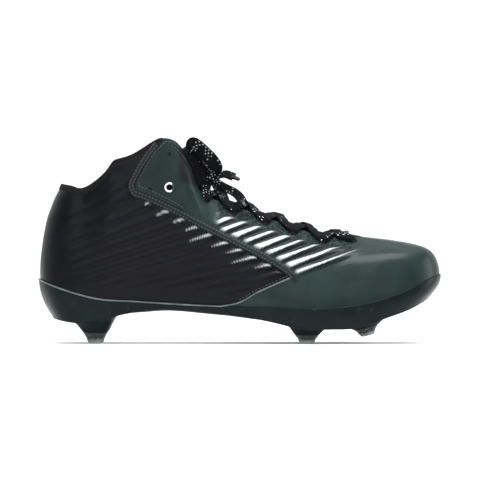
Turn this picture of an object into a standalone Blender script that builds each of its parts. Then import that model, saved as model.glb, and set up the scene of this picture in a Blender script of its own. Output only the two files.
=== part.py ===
"""American football cleat, right shoe, mid cut, with a moulded plate and six screw-on studs.

Metres, +Z up, toe towards +X, outer side of the foot towards -Y. The shoe stands on the
heel and ball studs, and the origin is under the middle of the shoe, on the floor.
"""

import math

import bmesh
import bpy
import numpy as np
from mathutils import Vector

# Driving sizes of the shoe
LENGTH = 0.2995
BALL_WIDTH = 0.100
HEEL_WIDTH = 0.073
COLLAR_HEIGHT = 0.151
HEEL_HEIGHT = 0.1175
INSTEP_HEIGHT = 0.112
TOE_HEIGHT = 0.079
TOE_SPRING = 0.041
ARCH_HEIGHT = 0.0253
BALL_CLEARANCE = 0.0108
HEEL_CLEARANCE = 0.0155

# Walls and clearances
UPPER_WALL = 0.0020
PLATE_THICKNESS = 0.0022
RIM_FOOT = 0.0016
RIM_LIP = 0.0008
OVERLAY_THICKNESS = 0.0009
GAP = 0.0003

# Insole and tongue
INSOLE_THICKNESS = 0.0040
INSOLE_GAP = 0.0009
TONGUE_THICKNESS = 0.0035
TONGUE_UNDERLAP = 0.0115
TONGUE_GAP = 0.0009
TONGUE_TOP_ROW = 9.15
TONGUE_FRONT_ROW = 18.0
THROAT_CROWN = 0.36

# Studs
STUD_SEAT_RADIUS = 0.0122
STUD_RADIUS = 0.0090
STUD_TIP_RADIUS = 0.0058
STUD_ROUNDING = 0.0022
HEEL_STUD_LENGTH = 0.0085
BALL_STUD_LENGTH = 0.0070
FRONT_STUD_LENGTH = 0.0065
FRONT_STUD_RISE = 0.0060
FRONT_STUD_LEAN = 14.0
STUD_SIDES = 12
SEAT_SIDES = 12
SEAT_STEP = 0.0004
SEAT_SINK = 0.5

# Lace
LACE_WIDTH = 0.0070
LACE_THICKNESS = 0.0014
LACE_CORD = 0.0034
EYELET_RADIUS = 0.0021
RING_RADIUS = 0.0030
EYELET_INSET = 0.0080
PUNCH_DEPTH = 0.012
LACE_LIFT = 0.0014
LACE_STAGGER = 0.00028
TIP_LENGTH = 0.0050
KNOT_GAP = 0.0005

# Raised seam, ankle panel and its ring eyelet
SEAM_WIDTH = 0.0048
OVERLAY_GAP = 0.0005
EYESTAY_MARGIN = 0.0008
RING_WIRE = 0.0007

# Facets: columns round the shoe, and rows or sides of the smaller pieces
COLUMNS = 72
TONGUE_ROWS = 15
SEAM_ROWS = 26
EYESTAY_ROWS = 15
EYESTAY_STEPS = 8
LACE_STEPS = 9
RING_SIDES = 12
RING_WIRE_SIDES = 6
PUNCH_SIDES = 8
CORD_STEP = 0.0072
OUTER_RISES = (0.0, 0.05, 0.11, 0.18, 0.26, 0.37, 0.49, 0.61, 0.73, 0.85, 0.94, 1.0)
INNER_RISES = (1.0, 0.89, 0.73, 0.55, 0.37, 0.20, 0.07, 0.0)

# Sections of the last from the heel side to the toe side. The first two columns are shares
# of the length, the next two of the ball width, and the five half widths of the width named.
# along the sole, along the top, middle of the sole, middle of the top,
# feather, swell, shoulder, crown, edge, width, height of the top edge
SECTIONS = (
    (0.100, 0.118, 0.000, 0.000, 0.80, 0.97, 0.86, 0.76, 0.64, HEEL_WIDTH, 0.977 * HEEL_HEIGHT),
    (0.150, 0.168, 0.000, 0.000, 0.86, 1.00, 0.93, 0.84, 0.78, HEEL_WIDTH, 0.835 * COLLAR_HEIGHT),
    (0.185, 0.190, 0.000, 0.000, 0.86, 1.00, 0.94, 0.86, 0.80, HEEL_WIDTH, 0.890 * COLLAR_HEIGHT),
    (0.225, 0.232, -0.005, 0.000, 0.84, 0.99, 0.93, 0.88, 0.82, HEEL_WIDTH, 0.917 * COLLAR_HEIGHT),
    (0.280, 0.288, -0.010, 0.000, 0.80, 0.96, 0.92, 0.88, 0.80, HEEL_WIDTH, 0.985 * COLLAR_HEIGHT),
    (0.330, 0.322, -0.020, 0.005, 0.80, 0.97, 0.93, 0.85, 0.70, HEEL_WIDTH, 1.000 * COLLAR_HEIGHT),
    (0.385, 0.352, -0.030, 0.010, 0.84, 1.00, 0.97, 0.82, 0.56, HEEL_WIDTH, 0.968 * COLLAR_HEIGHT),
    (0.445, 0.378, -0.035, 0.015, 0.92, 1.08, 1.02, 0.80, 0.47, HEEL_WIDTH, 0.860 * COLLAR_HEIGHT),
    (0.510, 0.405, -0.035, 0.020, 0.76, 0.85, 0.78, 0.55, 0.31, BALL_WIDTH, 1.000 * INSTEP_HEIGHT),
    (0.595, 0.480, -0.030, 0.030, 0.88, 0.95, 0.80, 0.53, 0.29, BALL_WIDTH, 0.910 * INSTEP_HEIGHT),
    (0.680, 0.565, -0.015, 0.035, 0.94, 1.00, 0.80, 0.52, 0.28, BALL_WIDTH, 0.830 * INSTEP_HEIGHT),
    (0.755, 0.650, 0.005, 0.035, 0.94, 1.00, 0.80, 0.51, 0.27, BALL_WIDTH, 0.750 * INSTEP_HEIGHT),
    (0.800, 0.720, 0.028, 0.040, 0.92, 0.99, 0.79, 0.48, 0.24, BALL_WIDTH, 1.000 * TOE_HEIGHT),
)

# Levels up the wall: share of the height, heel back and toe front as shares of the length
LEVELS = (
    (0.00, 0.0400, 0.9730),
    (0.26, 0.0045, 0.9945),
    (0.66, 0.0150, 0.9820),
    (0.87, 0.0350, 0.9250),
    (1.00, 0.0570, 0.8100),
)
SOLE_MIDDLE = tuple((row[0], row[2] * BALL_WIDTH) for row in SECTIONS)
HEEL_MIDDLE = 0.0
TOE_MIDDLE_SOLE = 0.075
TOE_MIDDLE_TOP = 0.048
HEEL_ROUNDNESS = 2.15
TOE_ROUNDNESS = 2.15
HEEL_FAN = (30.0, 60.0)
TOE_FAN = (70.0, 50.0, 32.0, 16.0)

# Underside of the plate: share of the length, height above the floor
UNDERSIDE = (
    (0.00, 1.45 * HEEL_CLEARANCE),
    (0.05, 1.13 * HEEL_CLEARANCE),
    (0.14, 1.00 * HEEL_CLEARANCE),
    (0.21, 0.85 * ARCH_HEIGHT),
    (0.31, 1.00 * ARCH_HEIGHT),
    (0.42, 0.91 * ARCH_HEIGHT),
    (0.51, 0.79 * ARCH_HEIGHT),
    (0.58, 1.48 * BALL_CLEARANCE),
    (0.64, 1.09 * BALL_CLEARANCE),
    (0.72, 1.00 * BALL_CLEARANCE),
    (0.79, 1.11 * BALL_CLEARANCE),
    (0.86, 0.47 * TOE_SPRING),
    (0.93, 0.67 * TOE_SPRING),
    (0.96, 0.80 * TOE_SPRING),
    (0.99, 1.00 * TOE_SPRING),
)

# Upper edge of the plate's rim: share of the length, height above the floor
RIM_LINE = (
    (0.00, 0.409 * HEEL_HEIGHT),
    (0.07, 0.338 * HEEL_HEIGHT),
    (0.16, 0.281 * HEEL_HEIGHT),
    (0.23, 1.26 * ARCH_HEIGHT),
    (0.32, 1.19 * ARCH_HEIGHT),
    (0.45, 1.11 * ARCH_HEIGHT),
    (0.60, 1.07 * ARCH_HEIGHT),
    (0.75, 0.342 * TOE_HEIGHT),
    (0.80, 0.372 * TOE_HEIGHT),
    (0.87, 0.443 * TOE_HEIGHT),
    (0.92, 0.519 * TOE_HEIGHT),
    (0.96, 0.595 * TOE_HEIGHT),
    (1.00, 0.658 * TOE_HEIGHT),
)


def along_rows(rows, at):
    """Smooth values through rows of (place, value), with slopes from the neighbours."""
    places, values = np.array(rows, float).T
    slopes = np.gradient(values, places)
    at = np.clip(np.asarray(at, float), places[0], places[-1])
    row = np.clip(np.searchsorted(places, at) - 1, 0, len(places) - 2)
    span = places[row + 1] - places[row]
    t = (at - places[row]) / span
    return (
        values[row] * (1 + 2 * t) * (1 - t) ** 2
        + slopes[row] * span * t * (1 - t) ** 2
        + values[row + 1] * t * t * (3 - 2 * t)
        + slopes[row + 1] * span * t * t * (t - 1)
    )


def underside(x):
    return along_rows(UNDERSIDE, x / LENGTH)


def floor_height(x):
    return underside(x) + PLATE_THICKNESS


def rim_line(x):
    return along_rows(RIM_LINE, x / LENGTH)


def cubic(values, at, closed):
    """A cubic spline through values, one step apart, read at the places given."""
    count = len(values)
    bend = np.zeros((count, count))
    pull = np.zeros((count, count))
    for i in range(count):
        if not closed and i in (0, count - 1):
            bend[i, i] = 1.0
            continue
        before, after = (i - 1) % count, (i + 1) % count
        bend[i, [before, i, after]] = 1.0, 4.0, 1.0
        pull[i, [before, i, after]] = 6.0, -12.0, 6.0
    second = np.linalg.solve(bend, np.tensordot(pull, values, axes=1).reshape(count, -1))
    second = second.reshape(values.shape)
    last = count if closed else count - 1
    at = np.asarray(at, float) % count if closed else np.clip(at, 0, last)
    row = np.minimum(np.floor(at).astype(int), last - 1)
    after = (row + 1) % count
    t = (at - row).reshape((-1,) + (1,) * (values.ndim - 1))
    return (
        (1 - t) * values[row]
        + t * values[after]
        + ((1 - t) ** 3 - (1 - t)) * second[row] / 6
        + (t**3 - t) * second[after] / 6
    )


def quarter_arc(roundness, degrees):
    """Cosine and sine of a superellipse's quarter."""
    turn = math.radians(degrees)
    return math.cos(turn) ** (2 / roundness), math.sin(turn) ** (2 / roundness)


def side_rows(level):
    """One level's rows from heel back to toe tip: x, middle, half width, height."""
    share, heel_x, toe_x = level
    column = 4 + LEVELS.index(level)
    rows = []
    for row in SECTIONS:
        x = LENGTH * (row[0] + share * (row[1] - row[0]))
        foot = floor_height(LENGTH * row[0]) + GAP
        middle = BALL_WIDTH * (row[2] + share * (row[3] - row[2]))
        rows.append((x, middle, row[column] * row[9] / 2, foot + share * (row[10] - foot)))
    heel_x, toe_x = heel_x * LENGTH, toe_x * LENGTH
    heel_foot = floor_height(LENGTH * LEVELS[0][1]) + GAP
    toe_foot = floor_height(LENGTH * LEVELS[0][2]) + GAP
    heel = (heel_x, HEEL_MIDDLE, 0.0, heel_foot + share * (HEEL_HEIGHT - heel_foot))
    toe_middle = BALL_WIDTH * (TOE_MIDDLE_SOLE + share * (TOE_MIDDLE_TOP - TOE_MIDDLE_SOLE))
    toe = (toe_x, toe_middle, 0.0, toe_foot + share * (TOE_HEIGHT - toe_foot))
    first = fan(heel, rows[0], HEEL_FAN, HEEL_ROUNDNESS)
    last = fan(toe, rows[-1], TOE_FAN, TOE_ROUNDNESS)
    return [heel, *first, *rows, *last, toe]


def fan(tip, side, turns, roundness):
    """Rows that round one end, between its tip and the first row of the side."""
    rows = []
    for degrees in turns:
        back, out = quarter_arc(roundness, degrees)
        x = side[0] + (tip[0] - side[0]) * back
        middle = tip[1] + (side[1] - tip[1]) * out
        rows.append((x, middle, side[2] * out, tip[3] + (side[3] - tip[3]) * out**2))
    return rows


def ring_points(level):
    """One level's closed ring: outer side from heel to toe, then inner side back."""
    rows = side_rows(level)
    outer = [(x, middle - half, z) for x, middle, half, z in rows]
    inner = [(x, middle + half, z) for x, middle, half, z in rows[-2:0:-1]]
    return outer + inner


RINGS = np.array([ring_points(level) for level in LEVELS])
ROUND = RINGS.shape[1]
TIP = ROUND // 2
TOP = len(LEVELS) - 1


def surface(u, v):
    """Points of the upper's outside: u round the shoe in rows, v from feather (0) to edge (1)."""
    u, v = np.broadcast_arrays(np.asarray(u, float), np.asarray(v, float))
    shape = u.shape
    across = cubic(RINGS.transpose(1, 0, 2), u.ravel(), closed=True)
    points = np.empty((across.shape[0], 3))
    heights = v.ravel() * TOP
    basis = cubic(np.eye(TOP + 1), heights, closed=False)
    points[:] = np.einsum("nl,nlk->nk", basis, across)
    foot = across[:, 0]
    seat = floor_height(foot[:, 0]) + GAP - foot[:, 2]
    points[:, 2] += seat * (1 - v.ravel()) ** 3
    return points.reshape(shape + (3,))


def normals(u, v):
    """Unit normals of the upper's outside."""
    step = 0.01
    v = np.asarray(v, float)
    low, high = np.clip(v - step, 0, 1), np.clip(v + step, 0, 1)
    along = surface(np.asarray(u) + step, v) - surface(np.asarray(u) - step, v)
    up = surface(u, high) - surface(u, low)
    out = np.cross(along, up)
    return out / np.linalg.norm(out, axis=-1, keepdims=True)


def shell(u, v, offset):
    """Points at a distance outside (or, below zero, inside) the upper's outside."""
    return surface(u, v) + np.asarray(offset, float)[..., None] * normals(u, v)


def place(x, z):
    """Row and rise (u, v) of the upper's outer side where it is seen at x, z from the side."""
    x, z = np.atleast_1d(np.asarray(x, float)), np.atleast_1d(np.asarray(z, float))
    rows, rises = np.meshgrid(np.linspace(0.5, TIP - 0.5, 90), np.linspace(0, 1, 41), indexing="ij")
    grid = surface(rows, rises).reshape(-1, 3)
    away = (grid[None, :, 0] - x[:, None]) ** 2 + (grid[None, :, 2] - z[:, None]) ** 2
    nearest = away.argmin(axis=1)
    u, v = rows.ravel()[nearest], rises.ravel()[nearest]
    step = 0.002
    for _ in range(6):
        here = surface(u, v)
        by_u = (surface(u + step, v) - here) / step
        back = np.where(v > 0.5, -step, step)
        by_v = (surface(u, v + back) - here) / back[:, None]
        miss_x, miss_z = x - here[:, 0], z - here[:, 2]
        area = by_u[:, 0] * by_v[:, 2] - by_u[:, 2] * by_v[:, 0]
        u = u + (miss_x * by_v[:, 2] - miss_z * by_v[:, 0]) / area
        v = np.clip(v + (by_u[:, 0] * miss_z - by_u[:, 2] * miss_x) / area, 0, 1)
    return u, v


def on_side(u, side):
    """The row on the side named: outer rows count up from the heel, inner rows down."""
    return u if side == "outer" else ROUND - u


def throat(u, q, offset):
    """Points across the throat: q from -2 under the outer edge, -1 to 1 open, to 2 under the inner edge."""
    u, q, offset = np.broadcast_arrays(np.asarray(u, float), np.asarray(q, float), np.asarray(offset, float))
    step = 0.05
    outer, inner = surface(u, 1.0), surface(ROUND - u, 1.0)
    middle = (outer + inner) / 2
    ahead = surface(u + step, 1.0) + surface(ROUND - u - step, 1.0)
    behind = surface(u - step, 1.0) + surface(ROUND - u + step, 1.0)
    run = ahead - behind
    rise = np.stack([-run[..., 2], np.zeros_like(run[..., 0]), run[..., 0]], axis=-1)
    rise /= np.linalg.norm(rise, axis=-1, keepdims=True)
    span = inner - outer
    half = np.linalg.norm(span, axis=-1, keepdims=True) / 2
    across = span / (2 * half)
    inside = np.clip(q, -1, 1)[..., None]
    crown = THROAT_CROWN * half * (1 - inside**2)
    facing = rise + 2 * THROAT_CROWN * inside * across
    facing /= np.linalg.norm(facing, axis=-1, keepdims=True)
    open_part = middle + inside * half * across + crown * rise + offset[..., None] * facing
    depth = np.linalg.norm(surface(u, 1.0) - surface(u, 0.8), axis=-1)
    under = np.clip(np.abs(q) - 1, 0, None)
    v = 1 - 0.2 * under * TONGUE_UNDERLAP / depth
    side = np.where(q < 0, u, ROUND - u)
    return np.where((np.abs(q) <= 1)[..., None], open_part, shell(side, v, offset))


# The least rise of the plate's rim, as v
RIM_LEAST = 0.03

# Inner rings of the plate and the insole: shares kept of their length and of their width
INNER_RINGS = ((0.80, 0.35), (0.93, 0.72))

CLEAT = "football_cleat"
LOOSE = ("lace_knot", "lace_loop", "lace_end", "lace_tip")
COLOURS = {
    "upper": ((0.020, 0.026, 0.027), 0.42, 0.0),
    "plate": ((0.014, 0.028, 0.028), 0.38, 0.0),
    "stud": ((0.200, 0.220, 0.215), 0.35, 0.0),
    "insole": ((0.020, 0.021, 0.023), 0.85, 0.0),
    "tongue": ((0.012, 0.013, 0.015), 0.80, 0.0),
    "eyestay": ((0.026, 0.050, 0.042), 0.50, 0.0),
    "seam": ((0.028, 0.050, 0.045), 0.55, 0.0),
    "lace": ((0.012, 0.012, 0.014), 0.75, 0.0),
    "ring": ((0.600, 0.610, 0.600), 0.30, 1.0),
}


def clear_scene():
    for obj in list(bpy.data.objects):
        bpy.data.objects.remove(obj, do_unlink=True)


def collection(name):
    made = bpy.data.collections.new(name)
    bpy.context.scene.collection.children.link(made)
    return made


def material(name):
    colour, roughness, metallic = COLOURS[name]
    made = bpy.data.materials.get(name)
    if made:
        return made
    made = bpy.data.materials.new(name)
    made.use_nodes = True
    shader = made.node_tree.nodes["Principled BSDF"]
    shader.inputs["Base Color"].default_value = (*colour, 1.0)
    shader.inputs["Roughness"].default_value = roughness
    shader.inputs["Metallic"].default_value = metallic
    made.diffuse_color = (*colour, 1.0)
    return made


def add_object(name, data, finish, into):
    obj = bpy.data.objects.new(name, data)
    data.materials.append(material(finish))
    into.objects.link(obj)
    return obj


def add_mesh(name, points, faces, finish, into):
    """A closed body from points and faces, with its faces turned outwards."""
    mesh = bpy.data.meshes.new(name)
    mesh.from_pydata([tuple(map(float, p)) for p in points], [], faces)
    work = bmesh.new()
    work.from_mesh(mesh)
    bmesh.ops.remove_doubles(work, verts=work.verts, dist=1e-6)
    bmesh.ops.recalc_face_normals(work, faces=work.faces)
    work.to_mesh(mesh)
    work.free()
    mesh.shade_smooth()
    mesh.set_sharp_from_angle(angle=math.radians(40))
    return add_object(name, mesh, finish, into)


def ring_faces(rings, columns, closed):
    """Four-sided faces between rings that each close round the shoe."""
    faces = []
    for ring in range(rings if closed else rings - 1):
        after = (ring + 1) % rings
        for column in range(columns):
            beside = (column + 1) % columns
            faces.append(
                (
                    ring * columns + column,
                    ring * columns + beside,
                    after * columns + beside,
                    after * columns + column,
                )
            )
    return faces


def bridge_faces(ring, columns):
    """Faces that close a ring's inside, from its outer half to its inner half."""
    start = ring * columns
    faces = []
    for column in range(columns // 2):
        left, right = (columns - column) % columns, columns - column - 1
        corners = [column, column + 1, right, left]
        kept = [start + c for i, c in enumerate(corners) if c not in corners[:i]]
        faces.append(tuple(kept))
    return faces


def slab(name, outer, inner, finish, into):
    """A closed body between two grids of points of the same size."""
    rows, columns = outer.shape[:2]
    points = np.concatenate([outer.reshape(-1, 3), inner.reshape(-1, 3)])
    back = rows * columns

    def at(row, column):
        return row * columns + column

    faces = []
    for row in range(rows - 1):
        for column in range(columns - 1):
            cell = (at(row, column), at(row, column + 1), at(row + 1, column + 1), at(row + 1, column))
            faces.append(cell)
            faces.append(tuple(back + c for c in reversed(cell)))
    border = (
        [at(0, c) for c in range(columns)]
        + [at(r, columns - 1) for r in range(1, rows)]
        + [at(rows - 1, c) for c in range(columns - 2, -1, -1)]
        + [at(r, 0) for r in range(rows - 2, 0, -1)]
    )
    for here, there in zip(border, border[1:] + border[:1]):
        faces.append((there, here, back + here, back + there))
    return add_mesh(name, points, faces, finish, into)


def rise_to(u, line):
    """How far up the wall, as v, each row reaches the height that line gives over its place."""
    rises = np.linspace(0, 0.6, 241)
    points = surface(np.asarray(u)[:, None], rises[None, :])
    above = points[..., 2] > line(points[..., 0])
    return rises[above.argmax(axis=1)]


def shrunk(ring, share_x, share_y, height):
    """A ring drawn in towards the middle of the shoe, laid at the height given over its place."""
    ahead = 2 * ring[:, 0] / LENGTH - 1
    x = ring[:, 0] - (1 - share_x) * LENGTH / 2 * ahead**5
    middle = along_rows(SOLE_MIDDLE, x / LENGTH)
    own_middle = along_rows(SOLE_MIDDLE, ring[:, 0] / LENGTH)
    y = middle + share_y * (ring[:, 1] - own_middle)
    return np.stack([x, y, height(x)], axis=1)


def drawn_in(ring, height):
    """The inner rings of a sole layer, from the innermost out."""
    return [shrunk(ring, along, across, height) for along, across in INNER_RINGS]


def add_upper(into):
    u = np.arange(COLUMNS) * ROUND / COLUMNS
    rings = [shell(u, v, 0.0) for v in OUTER_RISES]
    rings += [shell(u, v, -UPPER_WALL) for v in INNER_RISES]
    faces = ring_faces(len(rings), COLUMNS, closed=True)
    return add_mesh("upper", np.concatenate(rings), faces, "upper", into)


def add_plate(into):
    u = np.arange(COLUMNS) * ROUND / COLUMNS
    lip = np.maximum(rise_to(u, rim_line), RIM_LEAST)
    feather = shell(u, 0.0, GAP)
    feather[:, 2] = floor_height(feather[:, 0])
    edge = shell(u, 0.0, 0.0)
    edge[:, 2] = underside(edge[:, 0])
    rings = [*drawn_in(feather, floor_height), feather]
    rim_rises = [v for v in OUTER_RISES if v < lip.max()] + [1.0]
    rings += [shell(u, np.minimum(v, lip), GAP) for v in rim_rises[1:]]
    for v in reversed(rim_rises):
        rise = np.minimum(v, lip)
        rings.append(shell(u, rise, GAP + RIM_FOOT + rise / lip * (RIM_LIP - RIM_FOOT)))
    rings += [edge, *reversed(drawn_in(edge, underside))]
    faces = ring_faces(len(rings), COLUMNS, closed=False)
    faces += bridge_faces(0, COLUMNS) + bridge_faces(len(rings) - 1, COLUMNS)
    return add_mesh("sole_plate", np.concatenate(rings), faces, "plate", into)


def add_insole(into):
    u = np.arange(COLUMNS) * ROUND / COLUMNS
    inset = -(UPPER_WALL + INSOLE_GAP)

    def bottom(x):
        return floor_height(x) + INSOLE_GAP

    def top(x):
        return bottom(x) + INSOLE_THICKNESS

    low = shell(u, 0.0, inset)
    high = low.copy()
    low[:, 2] = bottom(low[:, 0])
    high[:, 2] = top(high[:, 0])
    rings = [*drawn_in(high, top), high, low, *reversed(drawn_in(low, bottom))]
    faces = ring_faces(len(rings), COLUMNS, closed=False)
    faces += bridge_faces(0, COLUMNS) + bridge_faces(len(rings) - 1, COLUMNS)
    return add_mesh("insole", np.concatenate(rings), faces, "insole", into)


# Places across the tongue: beyond 1 it runs under the throat's edge
TONGUE_ACROSS = (-2.0, -1.5, -1.05, -0.6, -0.2, 0.2, 0.6, 1.05, 1.5, 2.0)


def add_tongue(into):
    u = np.linspace(TONGUE_TOP_ROW, TONGUE_FRONT_ROW, TONGUE_ROWS)
    q = np.array(TONGUE_ACROSS)
    face = -(UPPER_WALL + TONGUE_GAP)
    outer = throat(u[:, None], q[None, :], face)
    inner = throat(u[:, None], q[None, :], face - TONGUE_THICKNESS)
    return slab("tongue", outer, inner, "tongue", into)


# Studs: place as a share of the length, distance from the middle line as a share of the ball
# width, length of the screwed-on stud, height of its tip, lean towards the toe in degrees
STUDS = (
    ("heel", 0.142, 0.162, HEEL_STUD_LENGTH, 0.0, 0.0),
    ("ball", 0.664, 0.320, BALL_STUD_LENGTH, 0.0, 0.0),
    ("front", 0.815, 0.270, FRONT_STUD_LENGTH, FRONT_STUD_RISE, FRONT_STUD_LEAN),
)


def stud_places():
    """Each stud's name, the middle of its tip, its length and its lean."""
    for name, along, aside, length, rise, lean in STUDS:
        middle = float(along_rows(SOLE_MIDDLE, along))
        for side, turn in (("outer", -1), ("inner", 1)):
            tip = (along * LENGTH, middle + turn * aside * BALL_WIDTH, rise)
            yield f"{name}_{side}", tip, length, math.radians(lean)


def stud_profile(length):
    """Radius and height of the stud's turned outline, from its top down to its flat tip."""
    taper = STUD_RADIUS - STUD_TIP_RADIUS
    return (
        (0.0, length),
        (STUD_RADIUS, length),
        (STUD_TIP_RADIUS + 0.45 * taper, length * 0.5),
        (STUD_TIP_RADIUS, STUD_ROUNDING),
        (STUD_TIP_RADIUS - 0.3 * STUD_ROUNDING, 0.3 * STUD_ROUNDING),
        (STUD_TIP_RADIUS - STUD_ROUNDING, 0.0),
        (0.0, 0.0),
    )


def add_studs(into):
    for name, tip, length, lean in stud_places():
        mesh = bpy.data.meshes.new(f"stud_{name}")
        points = [(radius, 0.0, height) for radius, height in stud_profile(length)]
        mesh.from_pydata(points, [(i, i + 1) for i in range(len(points) - 1)], [])
        obj = add_object(mesh.name, mesh, "stud", into)
        turn = obj.modifiers.new("turn", "SCREW")
        turn.steps = turn.render_steps = STUD_SIDES
        turn.use_merge_vertices = True
        turn.merge_threshold = 0.0001
        turn.use_smooth_shade = True
        obj.location = tip
        obj.rotation_euler = (0.0, -lean, 0.0)


def add_stud_seats(plate, cutters):
    """Flared seats joined under the plate, each ending a gap above its stud."""
    for name, tip, length, lean in stud_places():
        bpy.ops.mesh.primitive_cone_add(
            vertices=SEAT_SIDES,
            radius1=STUD_RADIUS + SEAT_STEP,
            radius2=STUD_SEAT_RADIUS,
            depth=1.0,
            end_fill_type="TRIFAN",
        )
        seat = bpy.context.object
        seat.name = f"seat_{name}"
        foot = np.array(tip) + (length + GAP) * np.array([-math.sin(lean), 0.0, math.cos(lean)])
        for vertex in seat.data.vertices:
            x, y, z = vertex.co
            if z > 0:
                height = float(underside(foot[0] + x)) + SEAT_SINK * PLATE_THICKNESS
                vertex.co = (foot[0] + x, foot[1] + y, height)
            else:
                vertex.co = (foot[0] + x * math.cos(lean), foot[1] + y, foot[2] + x * math.sin(lean))
        as_cutter(seat, cutters)
        join(plate, seat, "UNION")


def as_cutter(obj, cutters):
    for owner in list(obj.users_collection):
        owner.objects.unlink(obj)
    cutters.objects.link(obj)
    obj.hide_render = True
    obj.display_type = "WIRE"


def join(obj, other, operation):
    made = obj.modifiers.new(other.name, "BOOLEAN")
    made.operation = operation
    made.object = other


# Middle line of the raised seam in side view, from the collar round the corner and down to
# the sole: share of the length, height above the floor
SEAM = (
    (0.294, 0.977 * COLLAR_HEIGHT),
    (0.264, 0.894 * COLLAR_HEIGHT),
    (0.245, 0.828 * COLLAR_HEIGHT),
    (0.233, 0.772 * COLLAR_HEIGHT),
    (0.239, 0.738 * COLLAR_HEIGHT),
    (0.260, 0.722 * COLLAR_HEIGHT),
    (0.307, 0.682 * COLLAR_HEIGHT),
    (0.351, 0.639 * COLLAR_HEIGHT),
    (0.421, 0.563 * COLLAR_HEIGHT),
    (0.499, 0.485 * COLLAR_HEIGHT),
    (0.574, 0.407 * COLLAR_HEIGHT),
    (0.618, 0.351 * COLLAR_HEIGHT),
    (0.641, 0.308 * COLLAR_HEIGHT),
)
# The ankle panel: its share of the seam's length, and its upper edge as rows u and height v
EYESTAY_SEAM = (0.03, 0.50)
EYESTAY_TOP_ROWS = (7.75, 10.3)
EYESTAY_HEM = 0.975


def seam_line(share):
    """Point and sideways direction, in side view, at shares of the seam's length."""
    points = np.array([(x * LENGTH, z) for x, z in SEAM])
    steps = np.linalg.norm(np.diff(points, axis=0), axis=1)
    run = np.concatenate([[0.0], np.cumsum(steps)]) / steps.sum()
    share = np.asarray(share, float)

    def at(value):
        return np.stack([along_rows(np.stack([run, points[:, k]], axis=1), value) for k in (0, 1)], axis=-1)

    tangent = at(np.clip(share + 0.01, 0, 1)) - at(np.clip(share - 0.01, 0, 1))
    tangent /= np.linalg.norm(tangent, axis=-1, keepdims=True)
    return at(share), np.stack([-tangent[..., 1], tangent[..., 0]], axis=-1)


def overlay(name, seen, side, finish, into):
    """A thin solid lying on the upper, from a grid of points given in side view."""
    shape = seen.shape[:2]
    u, v = place(seen[..., 0].ravel(), seen[..., 1].ravel())
    u = on_side(u, side)
    low = shell(u, v, OVERLAY_GAP).reshape(shape + (3,))
    high = shell(u, v, OVERLAY_GAP + OVERLAY_THICKNESS).reshape(shape + (3,))
    return slab(name, high, low, finish, into)


def add_seams(into):
    point, aside = seam_line(np.linspace(0, 1, SEAM_ROWS))
    across = np.array([-0.5, 0.0, 0.5]) * SEAM_WIDTH
    seen = point[:, None] + across[None, :, None] * aside[:, None]
    for side in ("outer", "inner"):
        overlay(f"seam_{side}", seen, side, "seam", into)


def eyestay_seen():
    """The ankle panel in side view, from the seam (column 0) up to the throat's edge."""
    point, aside = seam_line(np.linspace(*EYESTAY_SEAM, EYESTAY_ROWS))
    low = point + aside * (SEAM_WIDTH / 2 + EYESTAY_MARGIN)
    high = surface(np.linspace(*EYESTAY_TOP_ROWS, EYESTAY_ROWS), EYESTAY_HEM)[:, [0, 2]]
    rise = np.linspace(0, 1, EYESTAY_STEPS)[None, :, None]
    return low[:, None] * (1 - rise) + high[:, None] * rise


# Ring eyelet on the ankle panel: share of the length, share of the collar's height
RING_PLACE = (0.327, 0.762)


def add_eyestays(into, cutters):
    made = {}
    for side in ("outer", "inner"):
        made[side] = overlay(f"eyestay_{side}", eyestay_seen(), side, "eyestay", into)
        middle, facing = ring_seat(side)
        join(made[side], add_punch(f"ring_hole_{side}", middle, facing, cutters), "DIFFERENCE")
        add_ring(f"eyelet_ring_{side}", middle, facing, into)
    return made


def ring_seat(side):
    u, v = place(RING_PLACE[0] * LENGTH, RING_PLACE[1] * COLLAR_HEIGHT)
    u = on_side(u, side)
    return surface(u, v)[0], normals(u, v)[0]


def turned(facing):
    """Rotation that turns +Z to the direction given."""
    return Vector(tuple(map(float, facing))).to_track_quat("Z", "Y").to_euler()


def add_punch(name, middle, facing, cutters):
    bpy.ops.mesh.primitive_cylinder_add(
        vertices=PUNCH_SIDES, radius=EYELET_RADIUS, depth=PUNCH_DEPTH, location=middle, rotation=turned(facing)
    )
    punch = bpy.context.object
    punch.name = name
    as_cutter(punch, cutters)
    return punch


def add_ring(name, middle, facing, into):
    lift = OVERLAY_GAP + OVERLAY_THICKNESS + GAP + RING_WIRE
    bpy.ops.mesh.primitive_torus_add(
        location=middle + lift * facing,
        rotation=turned(facing),
        major_segments=RING_SIDES,
        minor_segments=RING_WIRE_SIDES,
        major_radius=RING_RADIUS,
        minor_radius=RING_WIRE,
    )
    ring = bpy.context.object
    for owner in list(ring.users_collection):
        owner.objects.unlink(ring)
    into.objects.link(ring)
    ring.name = name
    ring.data.materials.append(material("ring"))
    ring.data.shade_smooth()


# Lace eyelets, from the ankle down to the toe, as shares of the length
EYELETS = (0.411, 0.481, 0.558, 0.626, 0.698, 0.775)
# Rows from the top eyelets up to the lace's knot
KNOT_ROW = 0.35
# How far short of its eyelet a lace run starts and ends, as shares of the throat's half width
RUN_END = 0.06


def eyelet_rows():
    rows = np.linspace(TONGUE_TOP_ROW, TIP - 2, 120)
    return np.interp(np.array(EYELETS) * LENGTH, surface(rows, 0.93)[:, 0], rows)


def add_eyelets(upper, cutters):
    reach = 1 + EYELET_INSET / TONGUE_UNDERLAP
    for number, row in enumerate(eyelet_rows(), start=1):
        for side, q in (("outer", -reach), ("inner", reach)):
            middle = throat(row, q, 0.0)
            facing = throat(row, q, 1.0) - middle
            join(upper, add_punch(f"eyelet_{side}_{number}", middle, facing, cutters), "DIFFERENCE")
    for side in ("outer", "inner"):
        join(upper, bpy.data.objects[f"ring_hole_{side}"], "DIFFERENCE")


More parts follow.
